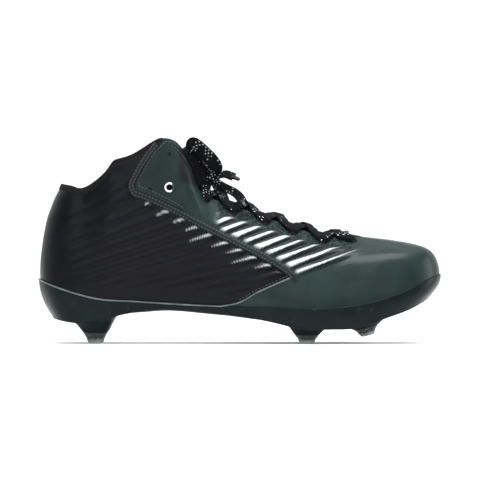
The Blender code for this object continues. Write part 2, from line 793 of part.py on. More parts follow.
def lace_strap(name, start, end, lift, into):
    """A flat length of lace between two places (row, q) on the throat."""
    share = np.linspace(0, 1, LACE_STEPS)
    u = start[0] + (end[0] - start[0]) * share
    q = start[1] + (end[1] - start[1]) * share
    sink = (UPPER_WALL + TONGUE_GAP - GAP) * (1 - np.clip(np.abs(q), 0, 1) ** 2)
    middle = throat(u, q, lift - sink)
    facing = throat(u, q, lift - sink + 0.01) - middle
    facing /= np.linalg.norm(facing, axis=1, keepdims=True)
    run = np.gradient(middle, axis=0)
    aside = np.cross(facing, run)
    aside /= np.linalg.norm(aside, axis=1, keepdims=True)
    edges = np.array([-0.5, 0.5]) * LACE_WIDTH
    low = middle[:, None] + edges[None, :, None] * aside[:, None]
    high = low + LACE_THICKNESS * facing[:, None]
    return slab(name, high, low, "lace", into)


def add_crossings(into, cutters):
    """The lace's crossings, front bar and top straps, joined into one solid."""
    rows = eyelet_rows()
    reach = 1 + EYELET_INSET / TONGUE_UNDERLAP
    near = reach - RUN_END
    knot = (rows[0] - KNOT_ROW, 0.0)
    runs = [((rows[-1], -near), (rows[-1], near))]
    for here, after in zip(rows[:-1], rows[1:]):
        runs.append(((here, -reach), (after, near)))
        runs.append(((here, reach), (after, -near)))
    runs += [((rows[0], -near), knot), ((rows[0], near), (knot[0], -2 * RUN_END))]
    first = None
    for number, (start, end) in enumerate(runs):
        lift = LACE_LIFT + LACE_STAGGER * (number % 3)
        if first is None:
            first = lace_strap("lace_crossings", start, end, lift, into)
            continue
        strap = lace_strap(f"lace_run_{number}", start, end, lift, into)
        as_cutter(strap, cutters)
        join(first, strap, "UNION")
    return first


# The bow: routes of the loose lace from the knot, in metres from the heel, the middle line
# and the floor
KNOT = (0.1282, 0.0020, 0.1229)
KNOT_SIZE = (0.0050, 0.0058, 0.0042)
BOW = {
    "lace_loop_outer": (
        (0.1245, -0.0030, 0.1280),
        (0.1203, -0.0085, 0.1330),
        (0.1160, -0.0130, 0.1395),
        (0.1135, -0.0155, 0.1450),
        (0.1165, -0.0170, 0.1475),
        (0.1225, -0.0175, 0.1425),
        (0.1285, -0.0170, 0.1360),
        (0.1315, -0.0125, 0.1300),
        (0.1303, -0.0060, 0.1268),
    ),
    "lace_loop_inner": (
        (0.1297, 0.0084, 0.1257),
        (0.1295, 0.0150, 0.1285),
        (0.1290, 0.0225, 0.1280),
        (0.1295, 0.0295, 0.1235),
        (0.1320, 0.0345, 0.1165),
        (0.1360, 0.0345, 0.1100),
        (0.1395, 0.0285, 0.1080),
        (0.1390, 0.0205, 0.1125),
        (0.1365, 0.0130, 0.1170),
        (0.1345, 0.0082, 0.1198),
    ),
    "lace_end_outer": (
        (0.1342, -0.0028, 0.1247),
        (0.1380, -0.0070, 0.1255),
        (0.1415, -0.0105, 0.1247),
        (0.1450, -0.0130, 0.1232),
    ),
    "lace_end_front": (
        (0.1340, 0.0008, 0.1182),
        (0.1390, -0.0040, 0.1152),
        (0.1445, -0.0090, 0.1125),
        (0.1490, -0.0140, 0.1088),
        (0.1515, -0.0185, 0.1046),
    ),
}


def smooth_route(points, step):
    """Points a step apart on the smooth curve through the route's points."""
    points = np.array(points)
    last = len(points) - 1
    fine = cubic(points, np.linspace(0, last, 40 * last + 1), closed=False)
    run = np.concatenate([[0.0], np.cumsum(np.linalg.norm(np.diff(fine, axis=0), axis=1))])
    count = max(4, round(run[-1] / step) + 1)
    return np.stack([np.interp(np.linspace(0, run[-1], count), run, fine[:, k]) for k in range(3)], axis=1)


def add_cord(name, route, radius, into):
    curve = bpy.data.curves.new(name, "CURVE")
    curve.dimensions = "3D"
    curve.bevel_depth = radius
    curve.bevel_resolution = 2
    curve.use_fill_caps = True
    spline = curve.splines.new("POLY")
    spline.points.add(len(route) - 1)
    for point, place_at in zip(spline.points, route):
        point.co = (*map(float, place_at), 1.0)
    return add_object(name, curve, "lace", into)


def knot_seat(towards):
    """Where a cord that runs towards a place starts, a gap off the knot."""
    away = np.array(towards) - np.array(KNOT)
    skin = away / np.linalg.norm(away / np.array(KNOT_SIZE))
    return tuple(np.array(KNOT) + skin * (1 + KNOT_GAP / np.linalg.norm(skin)))


def add_bow(into):
    knot = bmesh.new()
    bmesh.ops.create_uvsphere(knot, u_segments=12, v_segments=8, radius=1.0)
    for vertex in knot.verts:
        vertex.co = [KNOT[k] + KNOT_SIZE[k] * vertex.co[k] for k in range(3)]
    mesh = bpy.data.meshes.new("lace_knot")
    knot.to_mesh(mesh)
    knot.free()
    mesh.shade_smooth()
    add_object("lace_knot", mesh, "lace", into)
    for name, points in BOW.items():
        points = [knot_seat(points[0]), *points]
        if "loop" in name:
            points.append(knot_seat(points[-1]))
        route = smooth_route(points, CORD_STEP)
        add_cord(name, route, LACE_CORD / 2, into)
        if "end" in name:
            ahead = route[-1] - route[-2]
            ahead /= np.linalg.norm(ahead)
            start = route[-1] + GAP * ahead
            add_cord(name.replace("end", "tip"), [start, start + TIP_LENGTH * ahead], LACE_CORD / 2, into)


def settle(root, loose):
    """Moves the whole shoe so that the origin is on the floor under the middle of its box."""
    graph = bpy.context.evaluated_depsgraph_get()
    corners = []
    for obj in root.children:
        if obj.name.startswith(loose):
            continue
        seen = obj.evaluated_get(graph)
        corners += [seen.matrix_world @ Vector(corner) for corner in seen.bound_box]
    corners = np.array(corners)
    middle = (corners.min(axis=0) + corners.max(axis=0)) / 2
    root.location = (-middle[0], -middle[1], 0.0)


def main():
    clear_scene()
    cleat = collection(CLEAT)
    cutters = collection("cutters")
    cutters.hide_render = True
    root = bpy.data.objects.new("shoe", None)
    cleat.objects.link(root)
    upper = add_upper(cleat)
    plate = add_plate(cleat)
    add_stud_seats(plate, cutters)
    add_studs(cleat)
    add_insole(cleat)
    add_tongue(cleat)
    add_seams(cleat)
    add_eyestays(cleat, cutters)
    add_eyelets(upper, cutters)
    add_crossings(cleat, cutters)
    add_bow(cleat)
    for obj in list(cleat.objects) + list(cutters.objects):
        if obj is not root:
            obj.parent = root
    bpy.context.view_layer.update()
    settle(root, LOOSE)


main()
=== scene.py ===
"""The looks of a mid-cut american football cleat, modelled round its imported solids.

Metres, +Z up, toe towards +X, outer side of the foot towards -Y. The form's functions work
from the heel's back on the floor, and ORIGIN moves their points into the frame.
"""

import math
from functools import cache

import bmesh
import bpy
import numpy as np
from bpy.props import FloatProperty, FloatVectorProperty, IntProperty, PointerProperty
from bpy.types import Operator, Panel, PropertyGroup
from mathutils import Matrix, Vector


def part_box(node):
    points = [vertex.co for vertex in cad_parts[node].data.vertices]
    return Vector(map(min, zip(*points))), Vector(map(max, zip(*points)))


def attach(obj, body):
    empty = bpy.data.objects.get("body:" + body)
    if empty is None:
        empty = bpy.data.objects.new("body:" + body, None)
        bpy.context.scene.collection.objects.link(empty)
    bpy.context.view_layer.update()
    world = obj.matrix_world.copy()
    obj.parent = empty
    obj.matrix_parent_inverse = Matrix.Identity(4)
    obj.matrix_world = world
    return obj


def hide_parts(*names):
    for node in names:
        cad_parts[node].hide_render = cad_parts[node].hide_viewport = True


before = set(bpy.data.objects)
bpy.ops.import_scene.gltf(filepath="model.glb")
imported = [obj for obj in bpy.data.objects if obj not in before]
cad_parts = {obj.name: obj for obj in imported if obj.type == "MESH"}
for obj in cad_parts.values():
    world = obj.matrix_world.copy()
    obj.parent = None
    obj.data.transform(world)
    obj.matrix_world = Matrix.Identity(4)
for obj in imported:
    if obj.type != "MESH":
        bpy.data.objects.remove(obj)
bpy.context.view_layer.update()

bl_info = {
    "name": "Football Cleat",
    "version": (1, 0, 0),
    "blender": (4, 5, 0),
    "location": "View3D > Sidebar > Cleat",
    "description": "Builds a ribbed mid-cut football cleat piece by piece",
    "category": "Add Mesh",
}

# Driving sizes of the shoe
LENGTH = 0.2995
BALL_WIDTH = 0.100
HEEL_WIDTH = 0.073
COLLAR_HEIGHT = 0.151
HEEL_HEIGHT = 0.1175
INSTEP_HEIGHT = 0.112
TOE_HEIGHT = 0.079
TOE_SPRING = 0.041
ARCH_HEIGHT = 0.0253
BALL_CLEARANCE = 0.0108
HEEL_CLEARANCE = 0.0155

# Walls and clearances
UPPER_WALL = 0.0020
PLATE_THICKNESS = 0.0022
RIM_FOOT = 0.0016
RIM_LIP = 0.0008
RIM_LEAST = 0.03
OVERLAY_THICKNESS = 0.0009
GAP = 0.0003

# Insole and tongue
INSOLE_THICKNESS = 0.0040
INSOLE_GAP = 0.0009
TONGUE_THICKNESS = 0.0035
TONGUE_UNDERLAP = 0.0115
TONGUE_GAP = 0.0009
TONGUE_TOP_ROW = 9.15
TONGUE_FRONT_ROW = 18.0
THROAT_CROWN = 0.36

# Studs
STUD_RADIUS = 0.0090
STUD_TIP_RADIUS = 0.0058
STUD_ROUNDING = 0.0022
HEEL_STUD_PLACE = 0.142
HEEL_STUD_LENGTH = 0.0085
BALL_STUD_LENGTH = 0.0070
FRONT_STUD_LENGTH = 0.0065
FRONT_STUD_RISE = 0.0060
FRONT_STUD_LEAN = 14.0
SEAT_STEP = 0.0004

# Lace
LACE_WIDTH = 0.0070
LACE_THICKNESS = 0.0014
LACE_CORD = 0.0034
EYELET_RADIUS = 0.0021
RING_RADIUS = 0.0030
RING_WIRE = 0.0007
EYELET_INSET = 0.0080
LACE_LIFT = 0.0014
TIP_LENGTH = 0.0050
KNOT_GAP = 0.0005
LACE_REACH = 1 + EYELET_INSET / TONGUE_UNDERLAP
END_FACING = (-0.1, -0.85, 0.5)
LOOP_WIDENING = 0.55
LACE_OVERPASS = 0.0017
LACE_STEP = 0.0010
LEAD_STEP = 0.0008
TIP_OVERLAP = 0.0014

# Raised seam and ankle panel
SEAM_WIDTH = 0.0048
OVERLAY_GAP = 0.0005
EYESTAY_MARGIN = 0.0008
RING_PLACE = (0.327, 0.762)
EYELETS = (0.411, 0.481, 0.558, 0.626, 0.698, 0.775)
OVERLAY_HEIGHT = OVERLAY_GAP + OVERLAY_THICKNESS
OVERLAY_ROOT = 0.0002
PANEL_POINTS = (110, 64)
HOLE_SIDES = 28
HOLE_PROFILE = ((1.12, -0.0006), (1.12, 0.0), (1.0, 0.00018), (0.85, 0.00012), (0.7, 0.00002))
OUTER_HOLES = ((0.0972, 0.1396, 0.0014), (0.0833, 0.1138, 0.0014), (0.0979, 0.1151, 0.0022))

# Looks that the solids don't have: collar binding and padding, tongue, seats, rails under
# the arch and pale line. Ends are rows u round the shoe, counted from the heel.
BINDING_ENDS = 7.5
BINDING_DEPTH = 0.0042
BINDING_ROLL = 0.0014
PADDING_ENDS = 8.6
PADDING_FOOT = 0.70
PADDING_HEAD = 0.985
PADDING_SPAN = 0.285
PADDING_DEPTH = 0.0042
TONGUE_HEAD_LIFT = 0.0075
TONGUE_MIDDLE_LIFT = 0.0012
HEEL_SEAT_RADIUS = 0.0170
SEAT_RADIUS = 0.0150
STUD_SIDES = 64
RAIL_ASIDE = 0.011
RAIL_WIDTH = 0.0032
PLATE_POINTS = 384
INSOLE_POINTS = 240
LINE_ENDS = 9.0
LINE_WIDTH = 0.0011
LINE_THICKNESS = 0.0009
KNOT_LACE = (0.0052, 0.0016)

# Sections of the last from the heel side to the toe side. The first two columns are shares
# of the length, the next two of the ball width, and the five half widths of the width named.
# along the sole, along the top, middle of the sole, middle of the top,
# feather, swell, shoulder, crown, edge, width, height of the top edge
SECTIONS = (
    (0.100, 0.118, 0.000, 0.000, 0.80, 0.97, 0.86, 0.76, 0.64, HEEL_WIDTH, 0.977 * HEEL_HEIGHT),
    (0.150, 0.168, 0.000, 0.000, 0.86, 1.00, 0.93, 0.84, 0.78, HEEL_WIDTH, 0.835 * COLLAR_HEIGHT),
    (0.185, 0.190, 0.000, 0.000, 0.86, 1.00, 0.94, 0.86, 0.80, HEEL_WIDTH, 0.890 * COLLAR_HEIGHT),
    (0.225, 0.232, -0.005, 0.000, 0.84, 0.99, 0.93, 0.88, 0.82, HEEL_WIDTH, 0.917 * COLLAR_HEIGHT),
    (0.280, 0.288, -0.010, 0.000, 0.80, 0.96, 0.92, 0.88, 0.80, HEEL_WIDTH, 0.985 * COLLAR_HEIGHT),
    (0.330, 0.322, -0.020, 0.005, 0.80, 0.97, 0.93, 0.85, 0.70, HEEL_WIDTH, 1.000 * COLLAR_HEIGHT),
    (0.385, 0.352, -0.030, 0.010, 0.84, 1.00, 0.97, 0.82, 0.56, HEEL_WIDTH, 0.968 * COLLAR_HEIGHT),
    (0.445, 0.378, -0.035, 0.015, 0.92, 1.08, 1.02, 0.80, 0.47, HEEL_WIDTH, 0.860 * COLLAR_HEIGHT),
    (0.510, 0.405, -0.035, 0.020, 0.76, 0.85, 0.78, 0.55, 0.31, BALL_WIDTH, 1.000 * INSTEP_HEIGHT),
    (0.595, 0.480, -0.030, 0.030, 0.88, 0.95, 0.80, 0.53, 0.29, BALL_WIDTH, 0.910 * INSTEP_HEIGHT),
    (0.680, 0.565, -0.015, 0.035, 0.94, 1.00, 0.80, 0.52, 0.28, BALL_WIDTH, 0.830 * INSTEP_HEIGHT),
    (0.755, 0.650, 0.005, 0.035, 0.94, 1.00, 0.80, 0.51, 0.27, BALL_WIDTH, 0.750 * INSTEP_HEIGHT),
    (0.800, 0.720, 0.028, 0.040, 0.92, 0.99, 0.79, 0.48, 0.24, BALL_WIDTH, 1.000 * TOE_HEIGHT),
)

# Levels up the wall: share of the height, heel back and toe front as shares of the length
LEVELS = (
    (0.00, 0.0400, 0.9730),
    (0.26, 0.0045, 0.9945),
    (0.66, 0.0150, 0.9820),
    (0.87, 0.0350, 0.9250),
    (1.00, 0.0570, 0.8100),
)
SOLE_MIDDLE = tuple((row[0], row[2] * BALL_WIDTH) for row in SECTIONS)
HEEL_MIDDLE = 0.0
TOE_MIDDLE_SOLE = 0.075
TOE_MIDDLE_TOP = 0.048
HEEL_ROUNDNESS = 2.15
TOE_ROUNDNESS = 2.15
HEEL_FAN = (30.0, 60.0)
TOE_FAN = (70.0, 50.0, 32.0, 16.0)

# Underside of the plate: share of the length, height above the floor
UNDERSIDE = (
    (0.00, 1.45 * HEEL_CLEARANCE),
    (0.05, 1.13 * HEEL_CLEARANCE),
    (0.14, 1.00 * HEEL_CLEARANCE),
    (0.21, 0.85 * ARCH_HEIGHT),
    (0.31, 1.00 * ARCH_HEIGHT),
    (0.42, 0.91 * ARCH_HEIGHT),
    (0.51, 0.79 * ARCH_HEIGHT),
    (0.58, 1.48 * BALL_CLEARANCE),
    (0.64, 1.09 * BALL_CLEARANCE),
    (0.72, 1.00 * BALL_CLEARANCE),
    (0.79, 1.11 * BALL_CLEARANCE),
    (0.86, 0.47 * TOE_SPRING),
    (0.93, 0.67 * TOE_SPRING),
    (0.96, 0.80 * TOE_SPRING),
    (0.99, 1.00 * TOE_SPRING),
)

# Upper edge of the plate's rim: share of the length, height above the floor
RIM_LINE = (
    (0.00, 0.409 * HEEL_HEIGHT),
    (0.07, 0.338 * HEEL_HEIGHT),
    (0.16, 0.281 * HEEL_HEIGHT),
    (0.23, 1.26 * ARCH_HEIGHT),
    (0.32, 1.19 * ARCH_HEIGHT),
    (0.45, 1.11 * ARCH_HEIGHT),
    (0.60, 1.07 * ARCH_HEIGHT),
    (0.75, 0.342 * TOE_HEIGHT),
    (0.80, 0.372 * TOE_HEIGHT),
    (0.87, 0.443 * TOE_HEIGHT),
    (0.92, 0.519 * TOE_HEIGHT),
    (0.96, 0.595 * TOE_HEIGHT),
    (1.00, 0.658 * TOE_HEIGHT),
)


def along_rows(rows, at):
    """Smooth values through rows of (place, value), with slopes from the neighbours."""
    places, values = np.array(rows, float).T
    slopes = np.gradient(values, places)
    at = np.clip(np.asarray(at, float), places[0], places[-1])
    row = np.clip(np.searchsorted(places, at) - 1, 0, len(places) - 2)
    span = places[row + 1] - places[row]
    t = (at - places[row]) / span
    return (
        values[row] * (1 + 2 * t) * (1 - t) ** 2
        + slopes[row] * span * t * (1 - t) ** 2
        + values[row + 1] * t * t * (3 - 2 * t)
        + slopes[row + 1] * span * t * t * (t - 1)
    )


def underside(x):
    return along_rows(UNDERSIDE, x / LENGTH)


def floor_height(x):
    return underside(x) + PLATE_THICKNESS


def rim_line(x):
    return along_rows(RIM_LINE, x / LENGTH)


def cubic(values, at, closed):
    """A cubic spline through values, one step apart, read at the places given."""
    count = len(values)
    bend = np.zeros((count, count))
    pull = np.zeros((count, count))
    for i in range(count):
        if not closed and i in (0, count - 1):
            bend[i, i] = 1.0
            continue
        before, after = (i - 1) % count, (i + 1) % count
        bend[i, [before, i, after]] = 1.0, 4.0, 1.0
        pull[i, [before, i, after]] = 6.0, -12.0, 6.0
    second = np.linalg.solve(bend, np.tensordot(pull, values, axes=1).reshape(count, -1))
    second = second.reshape(values.shape)
    last = count if closed else count - 1
    at = np.asarray(at, float) % count if closed else np.clip(at, 0, last)
    row = np.minimum(np.floor(at).astype(int), last - 1)
    after = (row + 1) % count
    t = (at - row).reshape((-1,) + (1,) * (values.ndim - 1))
    return (
        (1 - t) * values[row]
        + t * values[after]
        + ((1 - t) ** 3 - (1 - t)) * second[row] / 6
        + (t**3 - t) * second[after] / 6
    )


def quarter_arc(roundness, degrees):
    """Cosine and sine of a superellipse's quarter."""
    turn = math.radians(degrees)
    return math.cos(turn) ** (2 / roundness), math.sin(turn) ** (2 / roundness)


def side_rows(level):
    """One level's rows from heel back to toe tip: x, middle, half width, height."""
    share, heel_x, toe_x = level
    column = 4 + LEVELS.index(level)
    rows = []
    for row in SECTIONS:
        x = LENGTH * (row[0] + share * (row[1] - row[0]))
        foot = floor_height(LENGTH * row[0]) + GAP
        middle = BALL_WIDTH * (row[2] + share * (row[3] - row[2]))
        rows.append((x, middle, row[column] * row[9] / 2, foot + share * (row[10] - foot)))
    heel_x, toe_x = heel_x * LENGTH, toe_x * LENGTH
    heel_foot = floor_height(LENGTH * LEVELS[0][1]) + GAP
    toe_foot = floor_height(LENGTH * LEVELS[0][2]) + GAP
    heel = (heel_x, HEEL_MIDDLE, 0.0, heel_foot + share * (HEEL_HEIGHT - heel_foot))
    toe_middle = BALL_WIDTH * (TOE_MIDDLE_SOLE + share * (TOE_MIDDLE_TOP - TOE_MIDDLE_SOLE))
    toe = (toe_x, toe_middle, 0.0, toe_foot + share * (TOE_HEIGHT - toe_foot))
    first = fan(heel, rows[0], HEEL_FAN, HEEL_ROUNDNESS)
    last = fan(toe, rows[-1], TOE_FAN, TOE_ROUNDNESS)
    return [heel, *first, *rows, *last, toe]


def fan(tip, side, turns, roundness):
    """Rows that round one end, between its tip and the first row of the side."""
    rows = []
    for degrees in turns:
        back, out = quarter_arc(roundness, degrees)
        x = side[0] + (tip[0] - side[0]) * back
        middle = tip[1] + (side[1] - tip[1]) * out
        rows.append((x, middle, side[2] * out, tip[3] + (side[3] - tip[3]) * out**2))
    return rows


def ring_points(level):
    """One level's closed ring: outer side from heel to toe, then inner side back."""
    rows = side_rows(level)
    outer = [(x, middle - half, z) for x, middle, half, z in rows]
    inner = [(x, middle + half, z) for x, middle, half, z in rows[-2:0:-1]]
    return outer + inner


RINGS = np.array([ring_points(level) for level in LEVELS])
ROUND = RINGS.shape[1]
TIP = ROUND // 2
TOP = len(LEVELS) - 1


def surface(u, v):
    """Points of the upper's outside: u round the shoe in rows, v from feather (0) to edge (1)."""
    u, v = np.broadcast_arrays(np.asarray(u, float), np.asarray(v, float))
    shape = u.shape
    across = cubic(RINGS.transpose(1, 0, 2), u.ravel(), closed=True)
    points = np.empty((across.shape[0], 3))
    heights = v.ravel() * TOP
    basis = cubic(np.eye(TOP + 1), heights, closed=False)
    points[:] = np.einsum("nl,nlk->nk", basis, across)
    foot = across[:, 0]
    seat = floor_height(foot[:, 0]) + GAP - foot[:, 2]
    points[:, 2] += seat * (1 - v.ravel()) ** 3
    return points.reshape(shape + (3,))


def normals(u, v):
    """Unit normals of the upper's outside."""
    step = 0.01
    v = np.asarray(v, float)
    low, high = np.clip(v - step, 0, 1), np.clip(v + step, 0, 1)
    along = surface(np.asarray(u) + step, v) - surface(np.asarray(u) - step, v)
    up = surface(u, high) - surface(u, low)
    out = np.cross(along, up)
    return out / np.linalg.norm(out, axis=-1, keepdims=True)


def shell(u, v, offset):
    """Points at a distance outside (or, below zero, inside) the upper's outside."""
    return surface(u, v) + np.asarray(offset, float)[..., None] * normals(u, v)


def place(x, z):
    """Row and rise (u, v) of the upper's outer side where it is seen at x, z from the side."""
    x, z = np.atleast_1d(np.asarray(x, float)), np.atleast_1d(np.asarray(z, float))
    rows, rises = np.meshgrid(np.linspace(0.5, TIP - 0.5, 90), np.linspace(0, 1, 41), indexing="ij")
    grid = surface(rows, rises).reshape(-1, 3)
    away = (grid[None, :, 0] - x[:, None]) ** 2 + (grid[None, :, 2] - z[:, None]) ** 2
    nearest = away.argmin(axis=1)
    u, v = rows.ravel()[nearest], rises.ravel()[nearest]
    step = 0.002
    for _ in range(6):
        here = surface(u, v)
        by_u = (surface(u + step, v) - here) / step
        back = np.where(v > 0.5, -step, step)
        by_v = (surface(u, v + back) - here) / back[:, None]
        miss_x, miss_z = x - here[:, 0], z - here[:, 2]
        area = by_u[:, 0] * by_v[:, 2] - by_u[:, 2] * by_v[:, 0]
        u = u + (miss_x * by_v[:, 2] - miss_z * by_v[:, 0]) / area
        v = np.clip(v + (by_u[:, 0] * miss_z - by_u[:, 2] * miss_x) / area, 0, 1)
    return u, v


def on_side(u, side):
    """The row on the side named: outer rows count up from the heel, inner rows down."""
    return u if side == "outer" else ROUND - u


def throat(u, q, offset):
    """Points across the throat.

    q runs from -2 under the outer edge over -1 to 1 in the opening to 2 under the inner edge.
    """
    u, q, offset = np.broadcast_arrays(*(np.asarray(one, float) for one in (u, q, offset)))
    step = 0.05
    outer, inner = surface(u, 1.0), surface(ROUND - u, 1.0)
    middle = (outer + inner) / 2
    ahead = surface(u + step, 1.0) + surface(ROUND - u - step, 1.0)
    behind = surface(u - step, 1.0) + surface(ROUND - u + step, 1.0)
    run = ahead - behind
    rise = np.stack([-run[..., 2], np.zeros_like(run[..., 0]), run[..., 0]], axis=-1)
    rise /= np.linalg.norm(rise, axis=-1, keepdims=True)
    span = inner - outer
    half = np.linalg.norm(span, axis=-1, keepdims=True) / 2
    across = span / (2 * half)
    inside = np.clip(q, -1, 1)[..., None]
    crown = THROAT_CROWN * half * (1 - inside**2)
    facing = rise + 2 * THROAT_CROWN * inside * across
    facing /= np.linalg.norm(facing, axis=-1, keepdims=True)
    open_part = middle + inside * half * across + crown * rise + offset[..., None] * facing
    depth = np.linalg.norm(surface(u, 1.0) - surface(u, 0.8), axis=-1)
    under = np.clip(np.abs(q) - 1, 0, None)
    v = 1 - 0.2 * under * TONGUE_UNDERLAP / depth
    side = np.where(q < 0, u, ROUND - u)
    return np.where((np.abs(q) <= 1)[..., None], open_part, shell(side, v, offset))


# Middle line of the raised seam in side view, from the collar round the corner and down to
# the sole: share of the length, height above the floor
SEAM = (
    (0.294, 0.977 * COLLAR_HEIGHT),
    (0.264, 0.894 * COLLAR_HEIGHT),
    (0.245, 0.828 * COLLAR_HEIGHT),
    (0.233, 0.772 * COLLAR_HEIGHT),
    (0.239, 0.738 * COLLAR_HEIGHT),
    (0.260, 0.722 * COLLAR_HEIGHT),
    (0.307, 0.682 * COLLAR_HEIGHT),
    (0.351, 0.639 * COLLAR_HEIGHT),
    (0.421, 0.563 * COLLAR_HEIGHT),
    (0.499, 0.485 * COLLAR_HEIGHT),
    (0.574, 0.407 * COLLAR_HEIGHT),
    (0.618, 0.351 * COLLAR_HEIGHT),
    (0.641, 0.308 * COLLAR_HEIGHT),
)
# The ankle panel: its share of the seam's length, and its upper edge as rows u and height v
EYESTAY_SEAM = (0.03, 0.50)
EYESTAY_TOP_ROWS = (7.75, 10.3)
EYESTAY_HEM = 0.975


def seam_line(share):
    """Point and sideways direction, in side view, at shares of the seam's length."""
    points = np.array([(x * LENGTH, z) for x, z in SEAM])
    steps = np.linalg.norm(np.diff(points, axis=0), axis=1)
    run = np.concatenate([[0.0], np.cumsum(steps)]) / steps.sum()
    share = np.asarray(share, float)

    def at(value):
        lines = (np.stack([run, points[:, k]], axis=1) for k in (0, 1))
        return np.stack([along_rows(line, value) for line in lines], axis=-1)

    tangent = at(np.clip(share + 0.01, 0, 1)) - at(np.clip(share - 0.01, 0, 1))
    tangent /= np.linalg.norm(tangent, axis=-1, keepdims=True)
    return at(share), np.stack([-tangent[..., 1], tangent[..., 0]], axis=-1)


# Studs: place as a share of the length, distance from the middle line as a share of the ball
# width, length of the screwed-on stud, height of its tip, lean towards the toe in degrees
STUDS = (
    ("heel", HEEL_STUD_PLACE, 0.162, HEEL_STUD_LENGTH, 0.0, 0.0),
    ("ball", 0.664, 0.320, BALL_STUD_LENGTH, 0.0, 0.0),
    ("front", 0.815, 0.270, FRONT_STUD_LENGTH, FRONT_STUD_RISE, FRONT_STUD_LEAN),
)

# The bow: routes of the loose lace from the knot, in metres from the heel, the middle line
# and the floor
KNOT = (0.1282, 0.0020, 0.1229)
KNOT_SIZE = (0.0050, 0.0058, 0.0042)
LOOP_OUTER = (
    (0.1245, -0.0030, 0.1280),
    (0.1203, -0.0085, 0.1330),
    (0.1160, -0.0130, 0.1395),
    (0.1135, -0.0155, 0.1450),
    (0.1165, -0.0170, 0.1475),
    (0.1225, -0.0175, 0.1425),
    (0.1285, -0.0170, 0.1360),
    (0.1315, -0.0125, 0.1300),
    (0.1303, -0.0060, 0.1268),
)
LOOP_INNER = (
    (0.1297, 0.0084, 0.1257),
    (0.1295, 0.0150, 0.1285),
    (0.1290, 0.0225, 0.1280),
    (0.1295, 0.0295, 0.1235),
    (0.1320, 0.0345, 0.1165),
    (0.1360, 0.0345, 0.1100),
    (0.1395, 0.0285, 0.1080),
    (0.1390, 0.0205, 0.1125),
    (0.1365, 0.0130, 0.1170),
    (0.1345, 0.0082, 0.1198),
)
END_OUTER = (
    (0.1342, -0.0028, 0.1247),
    (0.1380, -0.0070, 0.1255),
    (0.1415, -0.0105, 0.1247),
    (0.1450, -0.0130, 0.1232),
)
END_FRONT = (
    (0.1340, 0.0008, 0.1182),
    (0.1390, -0.0040, 0.1152),
    (0.1445, -0.0090, 0.1125),
    (0.1490, -0.0140, 0.1088),
    (0.1515, -0.0185, 0.1046),
)

# The knot's wraps of lace: axis that each turns round, and its share of the knot's size
KNOT_WRAPS = (
    ((0.2, 1.0, 0.1), 0.80),
    ((1.0, 0.25, 0.35), 0.92),
    ((0.6, -0.7, 0.5), 1.0),
    ((0.1, 0.35, 1.0), 0.72),
)

SIDES = ("outer", "inner")


def find_origin():
    """Where the heel's back on the floor lies in the frame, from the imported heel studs."""
    corners = [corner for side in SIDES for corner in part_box(f"stud_heel_{side}")]
    middle = sum((Vector(corner) for corner in corners), Vector()) / len(corners)
    return np.array([middle.x - HEEL_STUD_PLACE * LENGTH, middle.y, 0.0])


ORIGIN = find_origin()

# The ribs, as the side view shows them. Those behind the seam spread like rays from a hinge
# behind the heel, given in shares of the length and the collar's height, and those before it
# run side by side.
RIB_HINGE = (-1.008, -0.368)
QUARTER_RIBS = (
    0.150, 0.168, 0.186, 0.204, 0.221, 0.239, 0.257, 0.275, 0.293,
    0.315, 0.336, 0.358, 0.383, 0.412, 0.445, 0.480, 0.518,
)
RIB_INSET = 0.0026
VAMP_RIB_SLOPE = 0.36
VAMP_RIB_FIRST = 0.0412
VAMP_RIB_PITCH = 0.00719

# The lower edge of the quarter, from the plate's rim up to the seam's lower end
QUARTER_HEM = (
    (0.450, 1.11 * ARCH_HEIGHT),
    (0.500, 0.206 * COLLAR_HEIGHT),
    (0.541, 0.252 * COLLAR_HEIGHT),
    (0.585, 0.291 * COLLAR_HEIGHT),
    (0.622, 0.322 * COLLAR_HEIGHT),
)

# Main creases and swellings of the upper, placed in side view: two ends, width, depth
CREASES = (
    ((0.690, 0.43), (0.745, 0.30), 0.0070, 0.0006),
    ((0.740, 0.43), (0.790, 0.31), 0.0060, 0.0004),
    ((0.120, 0.70), (0.215, 0.655), 0.0070, 0.0006),
    ((0.040, 0.66), (0.150, 0.62), 0.0060, 0.0005),
    ((0.130, 0.775), (0.205, 0.83), 0.0060, 0.0006),
    ((0.850, 0.30), (0.960, 0.38), 0.0080, 0.0005),
    ((0.870, 0.46), (0.955, 0.43), 0.0090, -0.0006),
)


def smooth(value):
    """Eases from 0 to 1."""
    value = np.clip(value, 0, 1)
    return value * value * (3 - 2 * value)


def distance_to(route, x, z):
    """Distance in side view to a line of points, and how far along it the nearest place is."""
    best = np.full(np.shape(x), 1e9)
    share = np.zeros(np.shape(x))
    for number, (start, end) in enumerate(zip(route[:-1], route[1:])):
        run = end - start
        along = ((x - start[0]) * run[0] + (z - start[1]) * run[1]) / (run @ run)
        along = np.clip(along, 0, 1)
        away = np.hypot(x - start[0] - along * run[0], z - start[1] - along * run[1])
        nearer = away < best
        best = np.where(nearer, away, best)
        share = np.where(nearer, (number + along) / (len(route) - 1), share)
    return best, share


def within(outline, x, z):
    """Whether places in side view lie inside a closed outline."""
    inside = np.zeros(np.shape(x), bool)
    for (x0, z0), (x1, z1) in zip(outline, np.roll(outline, -1, axis=0)):
        crosses = (z0 > z) != (z1 > z)
        slope = (x1 - x0) / (z1 - z0) if z1 != z0 else 0.0
        inside ^= crosses & (x < x0 + slope * (z - z0))
    return inside


def quarter_edge():
    """The front and lower edge of the quarter in side view, from the collar to the rim."""
    hem = np.array([(x * LENGTH, z) for x, z in QUARTER_HEM])[::-1]
    line = seam_line(np.linspace(0, 0.985, 90))[0]
    return np.concatenate([line, hem])


